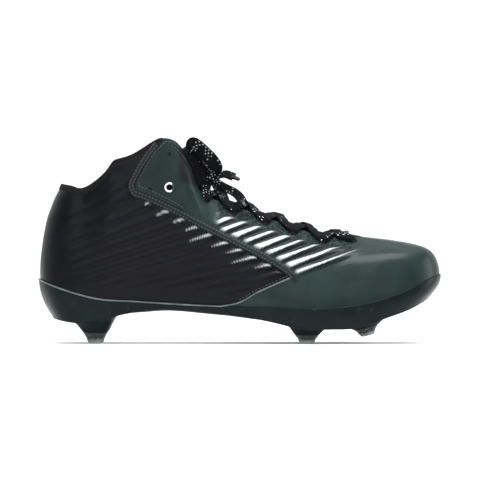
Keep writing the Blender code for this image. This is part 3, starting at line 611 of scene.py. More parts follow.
def puff(phase):
    """Height of a row of puffed ribs: 1 on each crest and 0 in the creases between them."""
    return 1 - np.abs(2 * (phase - np.round(phase))) ** 2.2


def relief(u, v):
    """How far the upper's outside stands out, with the fields that its looks are drawn from.

    quarter and heel are distances in millimetres, above zero inside; the others are shares. One of
    them marks where a highlight is painted on the rib crests, and the groove share where shade is
    painted between the vamp's ribs.
    """
    looks = bpy.context.scene.cleat
    points = surface(u, v)
    x, z = points[..., 0], points[..., 2]
    edge = quarter_edge()
    beyond = [(0.35 * LENGTH, -0.05), (-0.1, -0.05), (-0.1, 0.3), (edge[0, 0], 0.3)]
    outline = np.concatenate([edge, beyond])
    from_edge = distance_to(edge, x, z)[0]
    quarter = np.where(within(outline, x, z), from_edge, -from_edge)
    above_rim = z - rim_line(x)

    hinge_x, hinge_z = RIB_HINGE[0] * LENGTH, RIB_HINGE[1] * COLLAR_HEIGHT
    ray = (z - hinge_z) / (x - hinge_x)
    phase = np.interp(ray, QUARTER_RIBS, np.arange(len(QUARTER_RIBS)))
    strength = smooth((quarter - RIB_INSET) / 0.003) * smooth((above_rim - 0.003) / 0.016)
    strength *= 0.30 + 0.70 * smooth((x - 0.022) / 0.055)
    strength *= smooth((0.500 - ray) / 0.05) * smooth((x - 0.004) / 0.016)
    height = looks.quarter_rib * strength * puff(phase)
    centred = phase - np.round(phase)
    # Painted highlight: narrow pale wedges at the front ends of the quarter's ribs under the seam
    reach = 0.015 * smooth((x - 0.055) / 0.07) * (0.75 + 0.25 * np.cos(2.1 * np.round(phase)))
    taper = np.clip(1 - (quarter - RIB_INSET) / np.maximum(reach, 1e-4), 0, 1)
    wedge = smooth((0.04 + 0.12 * taper - np.abs(centred - 0.10)) / 0.11) * smooth(taper / 0.3)
    gleam = 0.7 * wedge * smooth((quarter - 0.0022) / 0.0012) * (ray < 0.44)
    gleam *= smooth((z - 0.052) / 0.005)

    across = (z - VAMP_RIB_SLOPE * x - VAMP_RIB_FIRST) / VAMP_RIB_PITCH
    ahead = smooth((-quarter - 0.0024) / 0.003)
    strength = ahead * smooth((0.80 - v) / 0.10) * smooth((0.245 - x) / 0.028)
    strength *= smooth((x - 0.131) / 0.006) * smooth((across + 8.7) / 0.6)
    height = height + looks.vamp_rib * strength * puff(across)
    # Painted highlight: pale streaks on the vamp's ribs, widest by the seam and tapering towards
    # the laces
    centred = across - np.round(across)
    reach = 0.045 + 0.014 * np.cos(1.7 * np.round(across))
    taper = np.clip(1 - (-quarter - 0.003) / reach, 0, 1)
    breadth = 0.07 + (0.19 + 0.06 * np.sin(2.6 * np.round(across))) * taper**2
    wedge = np.clip((breadth - np.abs(centred - 0.06)) / 0.07, 0, 1)
    gleam = gleam + wedge * strength * smooth(taper / 0.15) * (across > -8.5)
    # Painted shade: the grooves between these streaks, which the finish darkens
    groove = strength * smooth((np.abs(centred - 0.06) - breadth) / 0.06) * (across > -8.5)

    fine = smooth((-8.4 - across) / 0.5) * smooth((across + 13.0) / 2.0)
    fine *= smooth((x - 0.190) / 0.012) * smooth((0.245 - x) / 0.03) * ahead
    height = height + 0.00018 * fine * puff(3 * across)

    for (x0, z0), (x1, z1), width, depth in CREASES:
        ends = np.array([(x0 * LENGTH, z0 * COLLAR_HEIGHT), (x1 * LENGTH, z1 * COLLAR_HEIGHT)])
        away = distance_to(ends, x, z)[0]
        height = height - depth * np.exp(-((away / width) ** 2)) * smooth(above_rim / 0.01)

    height = height * smooth((above_rim - 0.0005) / 0.004) * smooth((0.985 - v) / 0.03)
    knit = smooth((v - 0.71) / 0.07) * smooth((-quarter - 0.004) / 0.004)
    knit *= smooth((0.245 - x) / 0.02) * (x > 0.134)
    heel = np.minimum(0.0048 - x, np.minimum(z - 0.045, 0.083 - z - 2.0 * x))
    return height, {
        "quarter": quarter * 1000,
        "heel": heel * 1000,
        "gleam": np.clip(gleam, 0, 1),
        "groove": groove,
        "knit": knit,
    }


def run_along(points):
    """Length along a line of points, from its start to each of them."""
    steps = np.linalg.norm(np.diff(points, axis=0), axis=1)
    return np.concatenate([[0.0], np.cumsum(steps)])


def even_rows(count, rise=0.45):
    """Rows evenly spaced round the shoe."""
    fine = np.linspace(0, ROUND, 2001)
    run = run_along(surface(fine, rise))
    return np.interp(np.linspace(0, run[-1], count, endpoint=False), run, fine)


def rise_to(u, line):
    """How far up the wall, as v, each row reaches the height that line gives over its place."""
    rises = np.linspace(0, 0.6, 241)
    points = surface(np.asarray(u)[:, None], rises[None, :])
    above = points[..., 2] - line(points[..., 0])
    after = np.maximum((above > 0).argmax(axis=1), 1)
    row = np.arange(len(after))
    low, high = above[row, after - 1], above[row, after]
    return rises[after - 1] + rises[1] * np.clip(low / (low - high), 0, 1)


def eyelet_rows():
    rows = np.linspace(TONGUE_TOP_ROW, TIP - 2, 120)
    return np.interp(np.array(EYELETS) * LENGTH, surface(rows, 0.93)[:, 0], rows)


def unit(vectors):
    return vectors / np.linalg.norm(vectors, axis=-1, keepdims=True)


def laid_on(seen, side):
    """Rows and rises (u, v) on the side named, for places in side view."""
    u, v = place(seen[..., 0].ravel(), seen[..., 1].ravel())
    return on_side(u, side), v


def drawn_in(ring, share):
    """A ring of the sole drawn in towards its middle line: x, y and the middle line's y."""
    along = np.interp(share, (0.0, 0.35, 0.72, 1.0), (0.78, 0.80, 0.93, 1.0))
    ahead = 2 * ring[:, 0] / LENGTH - 1
    x = ring[:, 0] - (1 - along) * LENGTH / 2 * ahead**5
    middle = along_rows(SOLE_MIDDLE, x / LENGTH)
    y = middle + share * (ring[:, 1] - along_rows(SOLE_MIDDLE, ring[:, 0] / LENGTH))
    return x, y, middle


def panel_grid(rows, columns):
    """The ankle panel in side view, from the seam (column 0) up to the throat's edge."""
    point, aside = seam_line(np.linspace(*EYESTAY_SEAM, rows))
    low = point + aside * (SEAM_WIDTH / 2 + 0.3 * EYESTAY_MARGIN)
    high = surface(np.linspace(*EYESTAY_TOP_ROWS, rows), EYESTAY_HEM)[:, [0, 2]]
    rise = np.linspace(0, 1, columns)[None, :, None]
    return low[:, None] * (1 - rise) + high[:, None] * rise


# Meshes


def grid_faces(rows, columns, loop_rows=False, loop_columns=False, start=0):
    """Four-sided faces over a grid of points."""
    row = np.arange(rows if loop_rows else rows - 1)[:, None]
    column = np.arange(columns if loop_columns else columns - 1)[None, :]
    after, beside = (row + 1) % rows, (column + 1) % columns
    here, there = row * columns, after * columns
    corners = (here + column, here + beside, there + beside, there + column)
    return (np.stack(np.broadcast_arrays(*corners), axis=-1).reshape(-1, 4) + start).tolist()


def tube_faces(rings, around, start=0):
    """Faces of a closed body of rings, with a face over each end."""
    last = start + (rings - 1) * around
    ends = [list(range(start, start + around))[::-1], list(range(last, last + around))]
    return grid_faces(rings, around, loop_columns=True, start=start) + ends


def bridge_faces(ring, columns):
    """Faces that close a ring's inside, from its outer half to its inner half."""
    start = ring * columns
    faces = []
    for column in range(columns // 2):
        left, right = (columns - column) % columns, columns - column - 1
        corners = [column, column + 1, right, left]
        faces.append([start + c for i, c in enumerate(corners) if c not in corners[:i]])
    return faces


def slab_faces(rows, columns):
    """Faces of a closed body between two grids of points of the same size."""
    back = rows * columns
    cells = np.array(grid_faces(rows, columns))
    at = np.arange(back).reshape(rows, columns)
    border = np.concatenate([at[0], at[1:, -1], at[-1, -2::-1], at[-2:0:-1, 0]])
    beside = np.roll(border, -1)
    sides = np.stack([beside, border, back + border, back + beside], axis=-1)
    return np.concatenate([cells, back + cells[:, ::-1], sides]).tolist()


def add_piece(name, points, faces, finishes, crease=50.0, slots=None):
    """A piece in the frame, from points in the shoe's own sizes, with its faces outwards."""
    mesh = bpy.data.meshes.new(name)
    mesh.from_pydata((np.asarray(points).reshape(-1, 3) + ORIGIN).tolist(), [], faces)
    work = bmesh.new()
    work.from_mesh(mesh)
    bmesh.ops.recalc_face_normals(work, faces=work.faces)
    work.to_mesh(mesh)
    work.free()
    mesh.shade_smooth()
    mesh.set_sharp_from_angle(angle=math.radians(crease))
    for finish in finishes:
        mesh.materials.append(finish_of(finish))
    if slots is not None:
        mesh.polygons.foreach_set("material_index", np.asarray(slots, np.int32))
    obj = bpy.data.objects.new(name, mesh)
    bpy.context.scene.collection.objects.link(obj)
    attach(obj, "root")
    return obj


def give(obj, name, values):
    """Stores a number for each point of a piece, for its finish to read."""
    layer = obj.data.attributes.new(name, "FLOAT", "POINT")
    layer.data.foreach_set("value", np.asarray(values, np.float32).ravel())


def unwrap(obj, coords):
    """A UV map in millimetres, from one pair of numbers for each point."""
    layer = obj.data.uv_layers.new(name="lengths")
    corners = np.empty(len(obj.data.loops), np.int32)
    obj.data.loops.foreach_get("vertex_index", corners)
    layer.data.foreach_set("uv", np.asarray(coords, np.float32).reshape(-1, 2)[corners].ravel())


def sweep(path, facing, outline):
    """Points of a body swept along a path; outline gives (sideways, outwards) at each step."""
    run = unit(np.gradient(path, axis=0))
    aside = unit(np.cross(facing, run))
    out = np.cross(run, aside)
    return path[:, None] + outline[..., :1] * aside[:, None] + outline[..., 1:] * out[:, None]


def flat_outline(width, thickness, corners=14):
    """Outlines of a flat lace with rounded edges, one for each width and thickness."""
    turn = np.linspace(0, 2 * math.pi, corners, endpoint=False)
    across = np.sign(np.cos(turn)) * np.abs(np.cos(turn)) ** 0.6
    up = np.sign(np.sin(turn)) * np.abs(np.sin(turn)) ** 0.6
    width, thickness = np.broadcast_arrays(np.asarray(width, float), np.asarray(thickness, float))
    return np.stack([width[..., None] / 2 * across, thickness[..., None] / 2 * up], axis=-1)


def swept_body(bodies):
    """Points, faces and lengths of several swept bodies with closed ends."""
    points, faces, coords = [], [], []
    start = 0
    for body, outline in bodies:
        steps, around = body.shape[:2]
        faces += tube_faces(steps, around, start)
        run = run_along(body.mean(axis=1))[:, None]
        pair = [np.broadcast_to(one, (steps, around)) for one in (run, outline[..., 0])]
        coords.append(np.stack(pair, axis=-1).reshape(-1, 2))
        points.append(body.reshape(-1, 3))
        start += steps * around
    return np.concatenate(points), faces, np.concatenate(coords) * 1000


def smooth_route(points, step):
    """Points a step apart on the smooth curve through the route's points."""
    points = np.array(points)
    last = len(points) - 1
    fine = cubic(points, np.linspace(0, last, 40 * last + 1), closed=False)
    run = run_along(fine)
    stops = np.linspace(0, run[-1], max(4, round(run[-1] / step) + 1))
    return np.stack([np.interp(stops, run, fine[:, k]) for k in range(3)], axis=1)


def knot_seat(towards):
    """Where a lace that runs towards a place leaves the knot."""
    away = np.array(towards) - np.array(KNOT)
    skin = away / np.linalg.norm(away / np.array(KNOT_SIZE))
    return tuple(np.array(KNOT) + skin * (1 + KNOT_GAP / np.linalg.norm(skin)))


def lathe(profile, sides, middle, lean=0.0):
    """Points of a turned body: profile gives (radius, height), middle where its foot stands."""
    turn = np.linspace(0, 2 * math.pi, sides, endpoint=False)
    radius, height = np.array(profile).T
    x = radius[:, None] * np.cos(turn)
    y = radius[:, None] * np.sin(turn)
    z = np.broadcast_to(height[:, None], x.shape)
    tilted_x = x * math.cos(lean) - z * math.sin(lean)
    tilted_z = x * math.sin(lean) + z * math.cos(lean)
    return np.stack([tilted_x, y, tilted_z], axis=-1) + np.array(middle)


# Finishes


class Nodes:
    """A material's nodes, made and joined one at a time."""

    def __init__(
        self, name, roughness=0.5, metallic=0.0, coat=0.0, coat_roughness=0.1, specular=0.5
    ):
        self.material = bpy.data.materials.new(name)
        self.material.use_nodes = True
        self.tree = self.material.node_tree
        self.shader = self.tree.nodes["Principled BSDF"]
        for socket, value in (
            ("Roughness", roughness),
            ("Metallic", metallic),
            ("Coat Weight", coat),
            ("Coat Roughness", coat_roughness),
            ("Specular IOR Level", specular),
        ):
            self.shader.inputs[socket].default_value = value

    def add(self, kind, inputs=None, **settings):
        node = self.tree.nodes.new(kind)
        for key, value in settings.items():
            setattr(node, key, value)
        for key, value in (inputs or {}).items():
            self.put(value, node.inputs[key])
        return node

    def put(self, value, socket):
        if isinstance(value, bpy.types.NodeSocket):
            self.tree.links.new(value, socket)
        elif isinstance(value, (tuple, list)) and len(value) == 3 and socket.type == "RGBA":
            socket.default_value = (*value, 1.0)
        else:
            socket.default_value = value

    def field(self, name):
        return self.add("ShaderNodeAttribute", attribute_name=name).outputs["Fac"]

    def place(self):
        return self.add("ShaderNodeTexCoord").outputs["Object"]

    def ramp(self, value, low, high, to_low=0.0, to_high=1.0):
        inputs = {"Value": value, "From Min": low, "From Max": high}
        inputs |= {"To Min": to_low, "To Max": to_high}
        return self.add("ShaderNodeMapRange", inputs).outputs["Result"]

    def math(self, operation, one, two=0.0):
        return self.add("ShaderNodeMath", {0: one, 1: two}, operation=operation).outputs[0]

    def times(self, one, two):
        return self.math("MULTIPLY", one, two)

    def plus(self, one, two):
        return self.math("ADD", one, two)

    def mix(self, share, one, two):
        node = self.add("ShaderNodeMix", data_type="RGBA")
        for socket, value in ((0, share), (6, one), (7, two)):
            self.put(value, node.inputs[socket])
        return node.outputs[2]

    def tones(self, share, name, low, high):
        """Two tones of one of the cleat's colours, mixed by a share."""
        return self.mix(share, shade(name, low), shade(name, high))

    def noise(self, scale, detail=3.0, vector=None):
        inputs = {"Scale": scale, "Detail": detail, "Vector": vector or self.place()}
        return self.add("ShaderNodeTexNoise", inputs).outputs["Fac"]

    def cells(self, scale, vector=None):
        inputs = {"Scale": scale, "Vector": vector or self.place()}
        return self.add("ShaderNodeTexVoronoi", inputs).outputs["Distance"]

    def bump(self, height, strength, distance, under=None):
        inputs = {"Height": height, "Strength": strength, "Distance": distance}
        if under is not None:
            inputs["Normal"] = under
        return self.add("ShaderNodeBump", inputs).outputs["Normal"]

    def done(self, colour, roughness=None, normal=None):
        self.put(colour, self.shader.inputs["Base Color"])
        if roughness is not None:
            self.put(roughness, self.shader.inputs["Roughness"])
        if normal is not None:
            self.put(normal, self.shader.inputs["Normal"])
        return self.material


def colour(name):
    return tuple(getattr(bpy.context.scene.cleat, name))


def shade(name, share):
    return tuple(channel * share for channel in colour(name))


def upper_finish():
    """Glossy ribbed skin: black behind the seam, green before it, knit by the throat."""
    nodes = Nodes("Upper skin", roughness=0.4, coat=0.04, coat_roughness=0.12, specular=0.075)
    mottle = nodes.noise(55.0, 4.0)
    black = nodes.tones(nodes.ramp(mottle, 0.35, 0.7), "quarter", 0.8, 1.3)
    green = nodes.tones(nodes.ramp(mottle, 0.35, 0.7), "vamp", 0.82, 1.2)
    dots = nodes.ramp(nodes.cells(430.0), 0.42, 0.55)
    knit = nodes.field("knit")
    knitted = nodes.mix(dots, shade("quarter", 0.5), shade("vamp", 1.35))
    green = nodes.mix(nodes.times(knit, 0.8), green, knitted)
    behind = nodes.ramp(nodes.field("quarter"), -0.15, 0.15)
    base = nodes.mix(behind, green, black)
    base = nodes.mix(nodes.ramp(nodes.field("heel"), -0.4, 0.4), base, colour("panel"))
    # Painted shade in the grooves between the vamp's ribs
    base = nodes.mix(nodes.times(nodes.field("groove"), 0.75), base, shade("vamp", 0.3))
    # Painted highlight: pale streaks on the rib crests by the seam, with lower roughness there
    gleam = nodes.field("gleam")
    highlight_streaks = nodes.times(gleam, nodes.ramp(nodes.noise(200.0, 2.0), 0.30, 0.55, 0.82, 1.0))
    base = nodes.mix(nodes.times(highlight_streaks, 0.70), base, colour("gleam"))
    rough = nodes.ramp(mottle, 0.3, 0.7, 0.30, 0.42)
    rough = nodes.math("SUBTRACT", rough, nodes.times(gleam, 0.14))
    rough = nodes.plus(rough, nodes.times(knit, 0.25))
    grain = nodes.bump(nodes.noise(1500.0, 2.0), 0.10, 0.0004)
    pores = nodes.times(dots, nodes.times(knit, -1.0))
    return nodes.done(base, rough, nodes.bump(pores, 0.7, 0.0006, grain))


def lining_finish():
    """Brushed dark knit inside the shoe."""
    nodes = Nodes("Lining", roughness=0.9, specular=0.12)
    weave = nodes.cells(900.0)
    base = nodes.tones(nodes.ramp(weave, 0.2, 0.5), "lining", 1.4, 0.7)
    return nodes.done(base, None, nodes.bump(weave, 0.6, 0.0005))


def plate_finish():
    """Moulded dark green plastic with a fine spark and faint scattered scuffs."""
    nodes = Nodes("Sole plate", roughness=0.36, coat=0.02, coat_roughness=0.2, specular=0.07)
    mottle = nodes.noise(40.0, 5.0)
    base = nodes.tones(nodes.ramp(mottle, 0.35, 0.7), "plate", 0.8, 1.35)
    scuff = nodes.ramp(nodes.noise(210.0, 6.0), 0.66, 0.74)
    base = nodes.mix(nodes.times(scuff, 0.05), base, colour("stud"))
    rough = nodes.plus(nodes.ramp(mottle, 0.3, 0.7, 0.30, 0.42), nodes.times(scuff, 0.2))
    return nodes.done(base, rough, nodes.bump(nodes.noise(900.0, 2.0), 0.12, 0.0003))


def stud_finish():
    """Cloudy moulded tip, dark where it meets its seat and pale at the ground."""
    nodes = Nodes("Stud", roughness=0.28, coat=0.4, coat_roughness=0.08, specular=0.4)
    rise, drift = nodes.field("rise"), nodes.noise(160.0, 4.0)
    cloud = nodes.plus(rise, nodes.ramp(drift, 0.3, 0.7, -0.12, 0.12))
    base = nodes.mix(nodes.ramp(cloud, 0.02, 0.50), shade("stud", 0.75), shade("plate", 1.5))
    worn = nodes.ramp(nodes.noise(420.0, 5.0), 0.55, 0.65)
    base = nodes.mix(nodes.times(worn, 0.25), base, shade("stud", 0.45))
    rough = nodes.ramp(cloud, 0.0, 0.6, 0.42, 0.24)
    return nodes.done(base, rough, nodes.bump(nodes.noise(700.0, 3.0), 0.2, 0.0003))


def insole_finish():
    """Foam footbed under brushed cloth."""
    nodes = Nodes("Insole", roughness=0.92, specular=0.12)
    nap = nodes.noise(1200.0, 2.0)
    base = nodes.tones(nodes.ramp(nap, 0.35, 0.65), "lining", 0.9, 1.9)
    return nodes.done(base, None, nodes.bump(nap, 0.5, 0.0005))


def tongue_finish():
    """Black spacer mesh."""
    nodes = Nodes("Tongue mesh", roughness=0.85, specular=0.10)
    cell = nodes.cells(560.0)
    base = nodes.tones(nodes.ramp(cell, 0.25, 0.5), "lining", 1.5, 0.45)
    return nodes.done(base, None, nodes.bump(nodes.times(cell, -1.0), 0.8, 0.0008))


def panel_finish():
    """Satin green synthetic of the ankle panel."""
    nodes = Nodes("Ankle panel", roughness=0.42, coat=0.03, coat_roughness=0.25, specular=0.12)
    mottle = nodes.noise(70.0, 4.0)
    base = nodes.tones(nodes.ramp(mottle, 0.35, 0.7), "panel", 0.82, 1.22)
    # Painted shade: darker in the hem groove and the fold crease
    crease_shade = nodes.ramp(nodes.field("hem"), 0.0, 1.0)
    base = nodes.mix(nodes.times(crease_shade, 0.35), base, shade("panel", 0.4))
    # Painted shade: the panel's front beyond the fold turned near-black
    base = nodes.mix(nodes.times(nodes.field("front_edge"), 0.92), base, colour("lining"))
    rough = nodes.ramp(mottle, 0.3, 0.7, 0.36, 0.50)
    return nodes.done(base, rough, nodes.bump(nodes.noise(1300.0, 3.0), 0.16, 0.0004))


def seam_finish():
    """Piped band: dark at the ankle, green down the side."""
    nodes = Nodes("Seam band", roughness=0.6, specular=0.16)
    grain = nodes.noise(1400.0, 3.0)
    down = nodes.ramp(nodes.field("run"), 0.30, 0.42)
    base = nodes.mix(down, shade("lining", 2.2), shade("panel", 0.75))
    base = nodes.mix(nodes.ramp(grain, 0.4, 0.65, 0.0, 0.35), base, shade("quarter", 0.7))
    return nodes.done(base, None, nodes.bump(grain, 0.3, 0.0004))


def binding_finish():
    """Ribbed elastic binding of the collar."""
    nodes = Nodes("Collar binding", roughness=0.85, specular=0.12)
    ribs = nodes.cells(1100.0)
    base = nodes.tones(nodes.ramp(ribs, 0.2, 0.5), "binding", 1.3, 0.6)
    return nodes.done(base, None, nodes.bump(ribs, 0.5, 0.0004))


def piping_finish():
    """Pale moulded line along the plate."""
    nodes = Nodes("Pale line", roughness=0.35, specular=0.3)
    worn = nodes.ramp(nodes.noise(120.0, 3.0), 0.35, 0.65)
    return nodes.done(nodes.tones(worn, "line", 0.55, 1.1))


def lace_finish():
    """Flat woven lace with rows of pale flecks."""
    nodes = Nodes("Lace", roughness=0.85, specular=0.08)
    lengths = nodes.add("ShaderNodeUVMap", uv_map="lengths").outputs["UV"]
    split = nodes.add("ShaderNodeSeparateXYZ", {0: lengths})
    along, across = split.outputs[0], split.outputs[1]
    row = nodes.plus(nodes.math("DIVIDE", across, 2.1), 0.5)
    shift = nodes.times(nodes.math("FLOOR", row), 0.5)
    step = nodes.math("FRACT", nodes.plus(nodes.math("DIVIDE", along, 2.9), shift))
    beside = nodes.math("ABSOLUTE", nodes.math("SUBTRACT", nodes.math("FRACT", row), 0.5))
    dash = nodes.math("LESS_THAN", nodes.math("ABSOLUTE", nodes.math("SUBTRACT", step, 0.5)), 0.13)
    fleck = nodes.times(dash, nodes.math("LESS_THAN", beside, 0.17))
    skipped = nodes.math("GREATER_THAN", nodes.noise(120.0, 1.0), 0.56)
    fleck = nodes.times(fleck, skipped)
    ribs = nodes.math("SINE", nodes.times(nodes.plus(along, nodes.math("ABSOLUTE", across)), 7.0))
    thread = nodes.tones(nodes.ramp(ribs, -1.0, 1.0), "lace", 0.6, 1.4)
    base = nodes.mix(nodes.times(fleck, 0.9), thread, colour("fleck"))
    height = nodes.plus(nodes.times(ribs, 0.5), nodes.times(fleck, 0.8))
    return nodes.done(base, None, nodes.bump(height, 0.5, 0.0002))


def ring_finish():
    """Pale enamelled metal of the ring eyelets."""
    nodes = Nodes("Ring", roughness=0.3, metallic=0.35, coat=0.4)
    worn = nodes.ramp(nodes.noise(600.0, 3.0), 0.35, 0.65)
    enamel = nodes.tones(worn, "fleck", 0.9, 1.2)
    # The ring's side towards the toe is painted dark green as shade
    return nodes.done(nodes.mix(nodes.field("rubbed"), enamel, shade("panel", 1.6)))


def hole_finish():
    """The dark inside of punched holes, on discs that stand in for them: the black lining behind,
    darkened further as painted shade.
    """
    nodes = Nodes("Hole", roughness=0.95, specular=0.2)
    return nodes.done(nodes.tones(nodes.noise(900.0), "lace", 0.2, 0.5))


def thread_finish():
    """Sewing thread."""
    nodes = Nodes("Thread", roughness=0.7, specular=0.3)
    twist = nodes.noise(2600.0, 2.0)
    base = nodes.tones(nodes.ramp(twist, 0.35, 0.65), "thread", 0.7, 1.4)
    return nodes.done(base, None, nodes.bump(twist, 0.5, 0.0003))


def tip_finish():
    """Clear-coated tip of the lace."""
    nodes = Nodes("Lace tip", roughness=0.35, coat=0.1, coat_roughness=0.1, specular=0.2)
    rings = nodes.noise(500.0, 2.0)
    return nodes.done(nodes.mix(rings, shade("lace", 0.8), shade("line", 0.10)))


def floor_finish():
    """Pale studio floor."""
    nodes = Nodes("Studio floor", roughness=0.8, specular=0.1)
    nodes.shader.inputs["Emission Color"].default_value = (*colour("floor"), 1.0)
    nodes.shader.inputs["Emission Strength"].default_value = FLOOR_GLOW
    return nodes.done(nodes.mix(nodes.noise(3.0), shade("floor", 0.985), colour("floor")))


FINISHES = {
    "upper": upper_finish,
    "lining": lining_finish,
    "plate": plate_finish,
    "stud": stud_finish,
    "insole": insole_finish,
    "tongue": tongue_finish,
    "panel": panel_finish,
    "seam": seam_finish,
    "binding": binding_finish,
    "line": piping_finish,
    "lace": lace_finish,
    "ring": ring_finish,
    "hole": hole_finish,
    "thread": thread_finish,
    "tip": tip_finish,
    "floor": floor_finish,
}


@cache
def finish_of(name):
    """A finish, made once and handed out again afterwards."""
    return FINISHES[name]()


# Settings


def tint(name, description, default):
    kind = {"subtype": "COLOR", "size": 3, "min": 0.0, "max": 1.0}
    return FloatVectorProperty(name=name, description=description, default=default, **kind)


def size(name, description, default):
    kind = {"subtype": "DISTANCE", "unit": "LENGTH", "min": 0.0}
    return FloatProperty(name=name, description=description, default=default, **kind)


def amount(name, description, default, unit="NONE"):
    return FloatProperty(name=name, description=description, default=default, min=0.0, unit=unit)


def whole(name, description, default, least, most):
    return IntProperty(name=name, description=description, default=default, min=least, max=most)


class CleatLooks(PropertyGroup):
    """Sizes and colours of the cleat that a user would change."""

    quarter_rib: size("Quarter ribs", "Height of the ribs behind the seam", 0.0014)
    vamp_rib: size("Vamp ribs", "Height of the ribs before the seam", 0.0013)
    stitch_spacing: size("Stitch spacing", "From one stitch to the next", 0.0026)
    stitch_length: size("Stitch length", "Length of a stitch", 0.0019)
    thread_radius: size("Thread radius", "Radius of the sewing thread", 0.00026)
    columns: whole("Columns", "Points round the upper", 620, 72, 640)
    rows: whole("Rows", "Points up the upper's outside", 118, 24, 130)
    quarter: tint("Quarter", "Black behind the seam", (0.0018, 0.0022, 0.0034))
    vamp: tint("Vamp", "Green before the seam", (0.0102, 0.0208, 0.0188))
    panel: tint("Ankle panel", "Green of the ankle panel", (0.0060, 0.0145, 0.0122))
    plate: tint("Plate", "Green of the sole plate", (0.0030, 0.0066, 0.0070))
    stud: tint("Stud tips", "Cloudy grey of the stud tips", (0.42, 0.46, 0.44))
    lining: tint("Lining", "Dark lining and tongue", (0.004, 0.004, 0.005))
    binding: tint("Binding", "Collar binding", (0.0075, 0.0072, 0.0078))
    # Colour of the highlight painted on the rib crests by the seam
    gleam: tint("Gleam", "Pale film on the ribs by the seam", (0.72, 0.78, 0.76))
    line: tint("Line", "Pale line along the plate", (0.095, 0.125, 0.125))
    lace: tint("Lace", "Black of the lace", (0.0032, 0.0036, 0.0045))
    fleck: tint("Flecks", "Pale flecks in the lace", (0.62, 0.66, 0.66))
    thread: tint("Thread", "Sewing thread", (0.055, 0.068, 0.063))
    floor: tint("Floor", "Studio floor", (0.92, 0.92, 0.92))


class CleatStudio(PropertyGroup):
    """Camera and lights."""

    distance: size("Camera distance", "From the camera to the shoe", 3.2)
    frame_width: size("Frame width", "Width that the camera sees at the shoe", 0.357)
    aim: size("Aim height", "Height of the middle of the picture", 0.0766)
    key: amount("Top light", "Power of the soft light overhead", 17.0, "POWER")
    fill: amount("Front light", "Power of the soft light in front", 5.0, "POWER")
    rim: amount("Toe light", "Power of the light beyond the toe", 6.0, "POWER")
    floor: amount("Floor light", "Power of the light over the floor", 45.0, "POWER")
    backdrop: amount("Backdrop light", "Power of the light on the backdrop", 50.0, "POWER")
    ambient: amount("Surroundings", "Strength of the light all round", 0.10)


# Pieces


class CLEAT_OT_upper(Operator):
    """Build the ribbed upper with its lining, collar padding and binding"""

    bl_idname = "cleat.upper"
    bl_label = "Upper"

    def execute(self, context):
        looks = context.scene.cleat
        u = even_rows(looks.columns)
        rises = np.linspace(0, 1, looks.rows)
        height, fields = relief(u[None, :], rises[:, None])
        outside = shell(u[None, :], rises[:, None], height)
        top = surface(u, 1.0)
        upward = unit(top - surface(u, 0.96))
        facing = normals(u, 1.0)
        turns = np.radians(np.arange(30.0, 180.0, 30.0))
        roll = [
            top + UPPER_WALL / 2 * ((math.cos(turn) - 1) * facing + math.sin(turn) * upward)
            for turn in turns
        ]
        falls = np.linspace(1, 0, 18)
        inside = shell(u[None, :], falls[:, None], -UPPER_WALL)
        rings = np.concatenate([outside, roll, inside])
        faces = grid_faces(len(rings), len(u), loop_rows=True, loop_columns=True)
        slots = np.zeros(len(faces), int)
        slots[(looks.rows + 2) * len(u):] = 1
        upper = add_piece("upper_skin", rings, faces, ("upper", "lining"), 75.0, slots)
        spare = (len(rings) - looks.rows) * len(u)
        for name, values in fields.items():
            last = np.tile(values[-1], len(rings) - looks.rows)
            give(upper, name, np.concatenate([values.ravel(), last[:spare]]))
        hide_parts("upper")
        self.add_binding()
        self.add_padding()
        return {"FINISHED"}

    def add_binding(self):
        """A rolled edge over the collar, from one ankle panel round the heel to the other."""
        u = np.linspace(-BINDING_ENDS, BINDING_ENDS, 260)
        top = surface(u, 1.0)
        upward = unit(top - surface(u, 0.96))
        facing = normals(u, 1.0)
        middle = top - UPPER_WALL / 2 * facing
        turn = np.linspace(-0.35, 1.35, 22) * math.pi
        outline = []
        for angle in turn:
            out = math.cos(angle) * (UPPER_WALL / 2 + 0.0008)
            if 0 <= angle <= math.pi:
                up = math.sin(angle) * BINDING_ROLL
            else:
                up = -BINDING_DEPTH * min(abs(angle), abs(angle - math.pi))
            outline.append(middle + out * facing + up * upward)
        points = np.stack(outline, axis=1)
        obj = add_piece("collar_binding", points, tube_faces(len(u), len(turn)), ("binding",), 60.0)

    def add_padding(self):
        """Soft padding inside the collar, thickest beside the heel's tendon."""
        u = np.linspace(-PADDING_ENDS, PADDING_ENDS, 150)[:, None]
        rises = np.linspace(PADDING_FOOT, PADDING_HEAD, 30)[None, :]
        # At the head the share comes out a hair over 1, and the root is not a number there
        share = (rises - PADDING_FOOT) / PADDING_SPAN
        swell = np.sin(np.pi * share) ** 0.6 * smooth((PADDING_ENDS - np.abs(u)) / 1.2)
        quilt = 1 - 0.12 * np.exp(-(((share - 0.5) / 0.06) ** 2))
        depth = UPPER_WALL + 0.0002 + PADDING_DEPTH * swell * quilt
        inner = shell(u, rises, -depth)
        outer = shell(u, rises, -(UPPER_WALL + 0.0001) + 0 * u)
        points = np.concatenate([outer.reshape(-1, 3), inner.reshape(-1, 3)])
        obj = add_piece("collar_padding", points, slab_faces(150, 30), ("lining",), 60.0)


